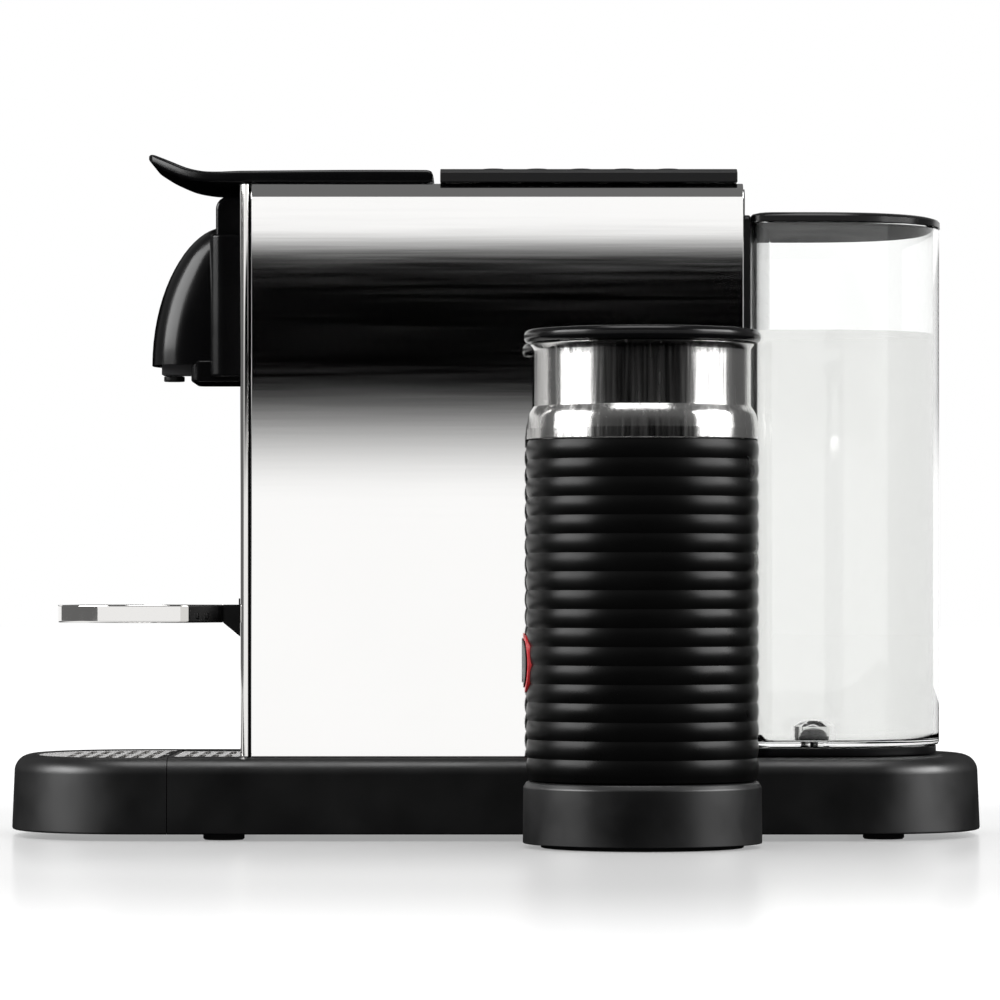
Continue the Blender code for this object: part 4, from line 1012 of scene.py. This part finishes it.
def make_vessel():
    """The steel collar's neck and shoulder, the cup inside and the lid."""
    low, high = COLLAR.z0, COLLAR.z1
    shoulder = [(43.3, 156), (42.6, 161.5), (40.9, 164.6), (40.5, 166.5), (40.5, 185.5)]
    profile = [(39.0, low), (43.3, low)]
    profile += [tuple(point) for point in smooth(shoulder, 6)]
    profile += [(40.7, 186.4), (41.3, 187.3), (41.8, 187.8), (41.7, high), (39.0, high)]
    shape = turned(profile, FROTHER_AXIS, steps=128, closed=True)
    piece("frother_collar_fine", shape, TURNED, "frother_jug", "frother_collar")
    cup = [(0, 58), (36, 58), (38.5, 61), (38.5, 187.8), (37.3, 187.8), (37.3, 61.8), (35.4, 59.4)]
    cup += [(2, 59.4), (2, 65), (0, 65)]
    piece("frother_cup_fine", jug(cup), TURNED, "frother_jug", "frother_cup")
    rim = (JUG_LID.y1 - JUG_LID.y0) / 2
    lid = [(0, 184), (34, 184), (34, 188.6), (rim - 0.9, 188.6), (rim, 189.8), (rim, 192.0)]
    lid += [(rim - 1.1, 193.3), (rim - 3.2, 193.5), (rim - 4.4, 192.6), (8, 192.6)]
    lid += [(6.5, 193.5), (0, 193.5)]
    piece("frother_lid_fine", jug(lid, soft=0.8), GLOSS_BLACK, "frother_lid", "frother_lid")


# ---- nodes that keep their shape ----

# Material, edge radius and names
KEPT = (
    (SATIN_BLACK, 0.0, ("base_plate",)),
    (SATIN_BLACK, 0.2, ("power_inlet",)),
    (SATIN_BLACK, 0.3, ("cup_bracket",)),
    (DARK, 0.0, ("brew_carriage",)),
    (DARK, 0.2, ("coffee_duct",)),
    (DARK, 0.3, ("pod_bin", "chassis", "pod_chute")),
    (GREY, 0.2, ("brew_frame",)),
    (BOARD, 0.0, ("control_board",)),
    (BRASS, 0.0, ("pod_cage",)),
    (CAST, 0.0, ("heater_block",)),
    (PRESSED, 0.0, ("cup_hinge_pin", "lever_pin", "pierce_plate", "pump")),
    (PRESSED, 0.0, ("frother_motor", "drive_disc", "whisk")),
    (PRESSED, 0.2, ("lever_mount",)),
    (TUBE_CLEAR, 0.0, ("inlet_tube", "pump_tube")),
    (RUBBER, 0.0, ("foot_1", "foot_2", "foot_3", "foot_4", "plinth_foot", "lid_seal")),
)


def dress_kept_nodes():
    for material, bevel, nodes in KEPT:
        for node in nodes:
            dress(node, material, bevel)


# ---- camera, floor and light ----

# Metres and watts from here on
CAMERA_PLACE = (2.055, 0.0, 0.0955)
CAMERA_LENS_MM = 191.4
CAMERA_SHIFT = (0.004, 0.092)
FLOOR_REACH = 12.0
FLOOR_POLISH = 0.64
FLOOR_GLOW = 0.25
CARD_DISTANCE = 3.0
CARD_HALF_WIDTH = 6.0
CARD_FAR_HALF_WIDTH = 2.5
CARD_DARK_HALF_WIDTH = 2.0
CARD_BOTTOM = -0.075  # below the floor, which reflections pass through
CARD_TOP = 1.0
CARD_BAND = ((0.183, 1.0), (0.298, 0.0), (0.413, 0.0), (0.443, 1.0))  # share of the height, and light
CARD_GLOW = 1.05
UNDER_CARD_Z = -0.012
UNDER_CARD_HALF = 4.0
UNDER_BAND_REACH = 1.5
UNDER_BAND = ((0.06, 1.0), (0.34, 0.03), (0.56, 0.03), (0.8, 1.0))  # share of the reach, and light
SIDE_LIGHT = 60.0
TOP_LIGHT = 20.0
ROOM_LIGHT = 1.0
ROOM_REFLECTION = 0.15
ROOM_THROUGH = 1.2  # makes up for what the tank's walls reflect away


def make_camera():
    """A long lens, level, at the side; shifted so that the floor takes little of the frame."""
    camera = bpy.data.objects.new("camera", bpy.data.cameras.new("camera"))
    bpy.context.scene.collection.objects.link(camera)
    camera.location = CAMERA_PLACE
    camera.rotation_euler = (math.pi / 2, 0, math.pi / 2)
    camera.data.sensor_width = 36
    camera.data.lens = CAMERA_LENS_MM
    camera.data.shift_x, camera.data.shift_y = CAMERA_SHIFT
    bpy.context.scene.camera = camera


def sheet(name, points, material):
    mesh = bpy.data.meshes.new(name)
    mesh.from_pydata(points, [], [tuple(range(len(points)))])
    mesh.materials.append(material)
    thing = bpy.data.objects.new(name, mesh)
    bpy.context.scene.collection.objects.link(thing)
    return thing


def floor_material():
    """Pale matt floor that glows a little, with a polish that shows only close to the machine."""
    material, tree, shader, place = new_material("floor")
    cloud = noise(tree, place, 3.0, 2.0)
    away = add_node(tree, "VectorMath", {0: place}, operation="LENGTH").outputs["Value"]
    ends = {"Value": away, "From Min": 0.9, "From Max": 0.3, "To Max": FLOOR_POLISH}
    near = add_node(tree, "MapRange", ends, interpolation_type="SMOOTHSTEP").outputs["Result"]
    lift = add_node(tree, "Math", {0: near, 1: FLOOR_GLOW}, operation="ADD")
    look = {
        "Base Color": tint(tree, cloud, (0.93, 0.93, 0.93), (0.95, 0.95, 0.95)),
        "Roughness": 0.9,
        "Specular IOR Level": 0.0,
        "Emission Color": (1, 1, 1, 1),
        "Emission Strength": lift.outputs["Value"],
    }
    fill(tree, shader, look)
    polish = add_node(tree, "BsdfGlossy", {"Roughness": 0.21})
    mix = add_node(tree, "MixShader", {"Fac": near, 1: shader.outputs["BSDF"], 2: polish.outputs["BSDF"]})
    fill(tree, tree.nodes["Material Output"], {"Surface": mix.outputs["Shader"]})
    return material


def blank_card(name):
    """A card's material without its shader, and the coordinates of the point on it."""
    material, tree, shader, place = new_material(name)
    tree.nodes.remove(shader)
    return material, tree, add_node(tree, "SeparateXYZ", {"Vector": place}).outputs


def dark_band(tree, value, reach, stops):
    """Light with a soft dark band, along one coordinate from nothing to its reach."""
    along = add_node(tree, "MapRange", {"Value": value, "From Max": reach})
    band = add_node(tree, "ValToRGB", {"Fac": along.outputs["Result"]})
    ramp = band.color_ramp
    ramp.interpolation = "EASE"
    for at, light in stops[2:]:
        ramp.elements.new(at)
    for element, (at, light) in zip(ramp.elements, stops):
        element.position = at
        element.color = (light, light, light, 1)
    return band.outputs["Color"]


def absolute(tree, value):
    return add_node(tree, "Math", {0: value}, operation="ABSOLUTE").outputs["Value"]


def shine(tree, colour):
    """Makes a card shine with a colour."""
    glow = add_node(tree, "Emission", {"Color": colour, "Strength": CARD_GLOW})
    fill(tree, tree.nodes["Material Output"], {"Surface": glow.outputs["Emission"]})


def card_material():
    """A white card with a soft dark band across it, which fades out towards the card's ends."""
    material, tree, place = blank_card("card")
    away = absolute(tree, place["Y"])
    ends = {"Value": away, "From Min": CARD_DARK_HALF_WIDTH, "From Max": CARD_HALF_WIDTH}
    fade = add_node(tree, "MapRange", ends, interpolation_type="SMOOTHSTEP").outputs["Result"]
    look = {"Factor": fade, "A": dark_band(tree, place["Z"], CARD_TOP, CARD_BAND), "B": (1, 1, 1, 1)}
    shine(tree, add_node(tree, "Mix", look, data_type="RGBA").outputs["Result"])
    return material


def card_under_material():
    """Light beside the machine, then dark, then light again further out."""
    material, tree, place = blank_card("card_under")
    shine(tree, dark_band(tree, absolute(tree, place["X"]), UNDER_BAND_REACH, UNDER_BAND))
    return material


def level_corners(half, z):
    return [(-half, -half, z), (half, -half, z), (half, half, z), (-half, half, z)]


def make_stage():
    """The floor, and the cards that the metal reflects: one on each side and one under the floor."""
    floor = sheet("floor", level_corners(FLOOR_REACH, 0), floor_material())
    floor.visible_glossy = False
    material = card_material()
    for name, x, half in (
        ("card_near", CARD_DISTANCE, CARD_HALF_WIDTH),
        ("card_far", -CARD_DISTANCE, CARD_FAR_HALF_WIDTH),
    ):
        low_edge = [(x, -half, CARD_BOTTOM), (x, half, CARD_BOTTOM)]
        high_edge = [(x, half, CARD_TOP), (x, -half, CARD_TOP)]
        seen_in_reflections(sheet(name, low_edge + high_edge, material))
    under = level_corners(UNDER_CARD_HALF, UNDER_CARD_Z)
    seen_in_reflections(sheet("card_under", under, card_under_material()))


def seen_in_reflections(card):
    """Hides a card from everything but reflections."""
    card.visible_camera = False
    card.visible_diffuse = False
    card.visible_transmission = False
    card.visible_shadow = False


def add_light(name, place, target, width, height, power):
    """A soft rectangular light, turned to a target and hidden from the camera."""
    data = bpy.data.lights.new(name, "AREA")
    data.shape = "RECTANGLE"
    data.size = width
    data.size_y = height
    data.energy = power
    light = bpy.data.objects.new(name, data)
    light.location = place
    light.rotation_euler = (Vector(target) - Vector(place)).to_track_quat("-Z", "Y").to_euler()
    light.visible_camera = False
    bpy.context.scene.collection.objects.link(light)
    return light


def linked(light, state, names):
    """Lets a light or a card reach the named pieces only, or all but them."""
    pieces = bpy.data.collections.new(f"linked_to_{light.name}")
    for name in names:
        pieces.objects.link(bpy.data.objects[name])
    for entry in pieces.collection_objects:
        entry.light_linking.link_state = state
    light.light_linking.receiver_collection = pieces


def room():
    """White where it is seen or seen through, and dim in reflections."""
    world = bpy.data.worlds.new("room")
    world.use_nodes = True
    tree = world.node_tree
    path = tree.nodes.new("ShaderNodeLightPath").outputs
    strength = ROOM_LIGHT
    levels = {"Is Glossy Ray": ROOM_REFLECTION, "Is Transmission Ray": ROOM_THROUGH, "Is Camera Ray": 1.0}
    for ray, level in levels.items():
        look = {"Factor": path[ray], "A": strength, "B": level}
        strength = add_node(tree, "Mix", look).outputs["Result"]
    fill(tree, tree.nodes["Background"], {"Color": (1, 1, 1, 1), "Strength": strength})
    return world


def light_scene():
    """A white room and three soft lights, each kept off the pieces that it would spoil."""
    bpy.context.scene.world = room()
    middle = (0.0, 0.0, 0.15)
    pale = ("floor", "water_tank_fine", "water")
    for name, y in (("light_front", -2.15), ("light_back", 2.15)):
        linked(add_light(name, (0.5, y, 0.95), middle, 1.7, 1.1, SIDE_LIGHT), "EXCLUDE", pale)
    column = ("body_shell_fine", "front_frame_fine")
    top = add_light("light_top", (0.3, 0.0, 1.9), middle, 1.2, 1.1, TOP_LIGHT)
    linked(top, "EXCLUDE", pale + column)
    dark = ("base_housing_fine", "drip_tray_fine", "frother_plinth_fine", "frother_sleeve_fine")
    dark += ("brew_head_fine", "frother_collar_fine", "lever_fine")
    for name in ("card_near", "card_far"):
        linked(bpy.data.objects[name], "EXCLUDE", dark)
    linked(bpy.data.objects["card_under"], "INCLUDE", column + ("cup_support_fine",))
    bpy.context.scene.view_settings.view_transform = "Standard"


def make_everything():
    make_camera()
    make_stage()
    make_base_housing()
    make_drip_tray()
    make_grids()
    make_body_shell()
    make_front_frame()
    make_front_panel()
    make_cup_support()
    make_rear_panel()
    make_top_cover()
    make_buttons()
    make_status_light()
    make_lever()
    make_brew_head()
    make_nozzle()
    make_water_tank()
    make_water()
    make_tank_foot()
    make_tank_lid()
    make_valve_and_seat()
    make_plinth()
    make_sleeve()
    make_frother_button()
    make_vessel()
    dress_kept_nodes()
    light_scene()


make_everything()
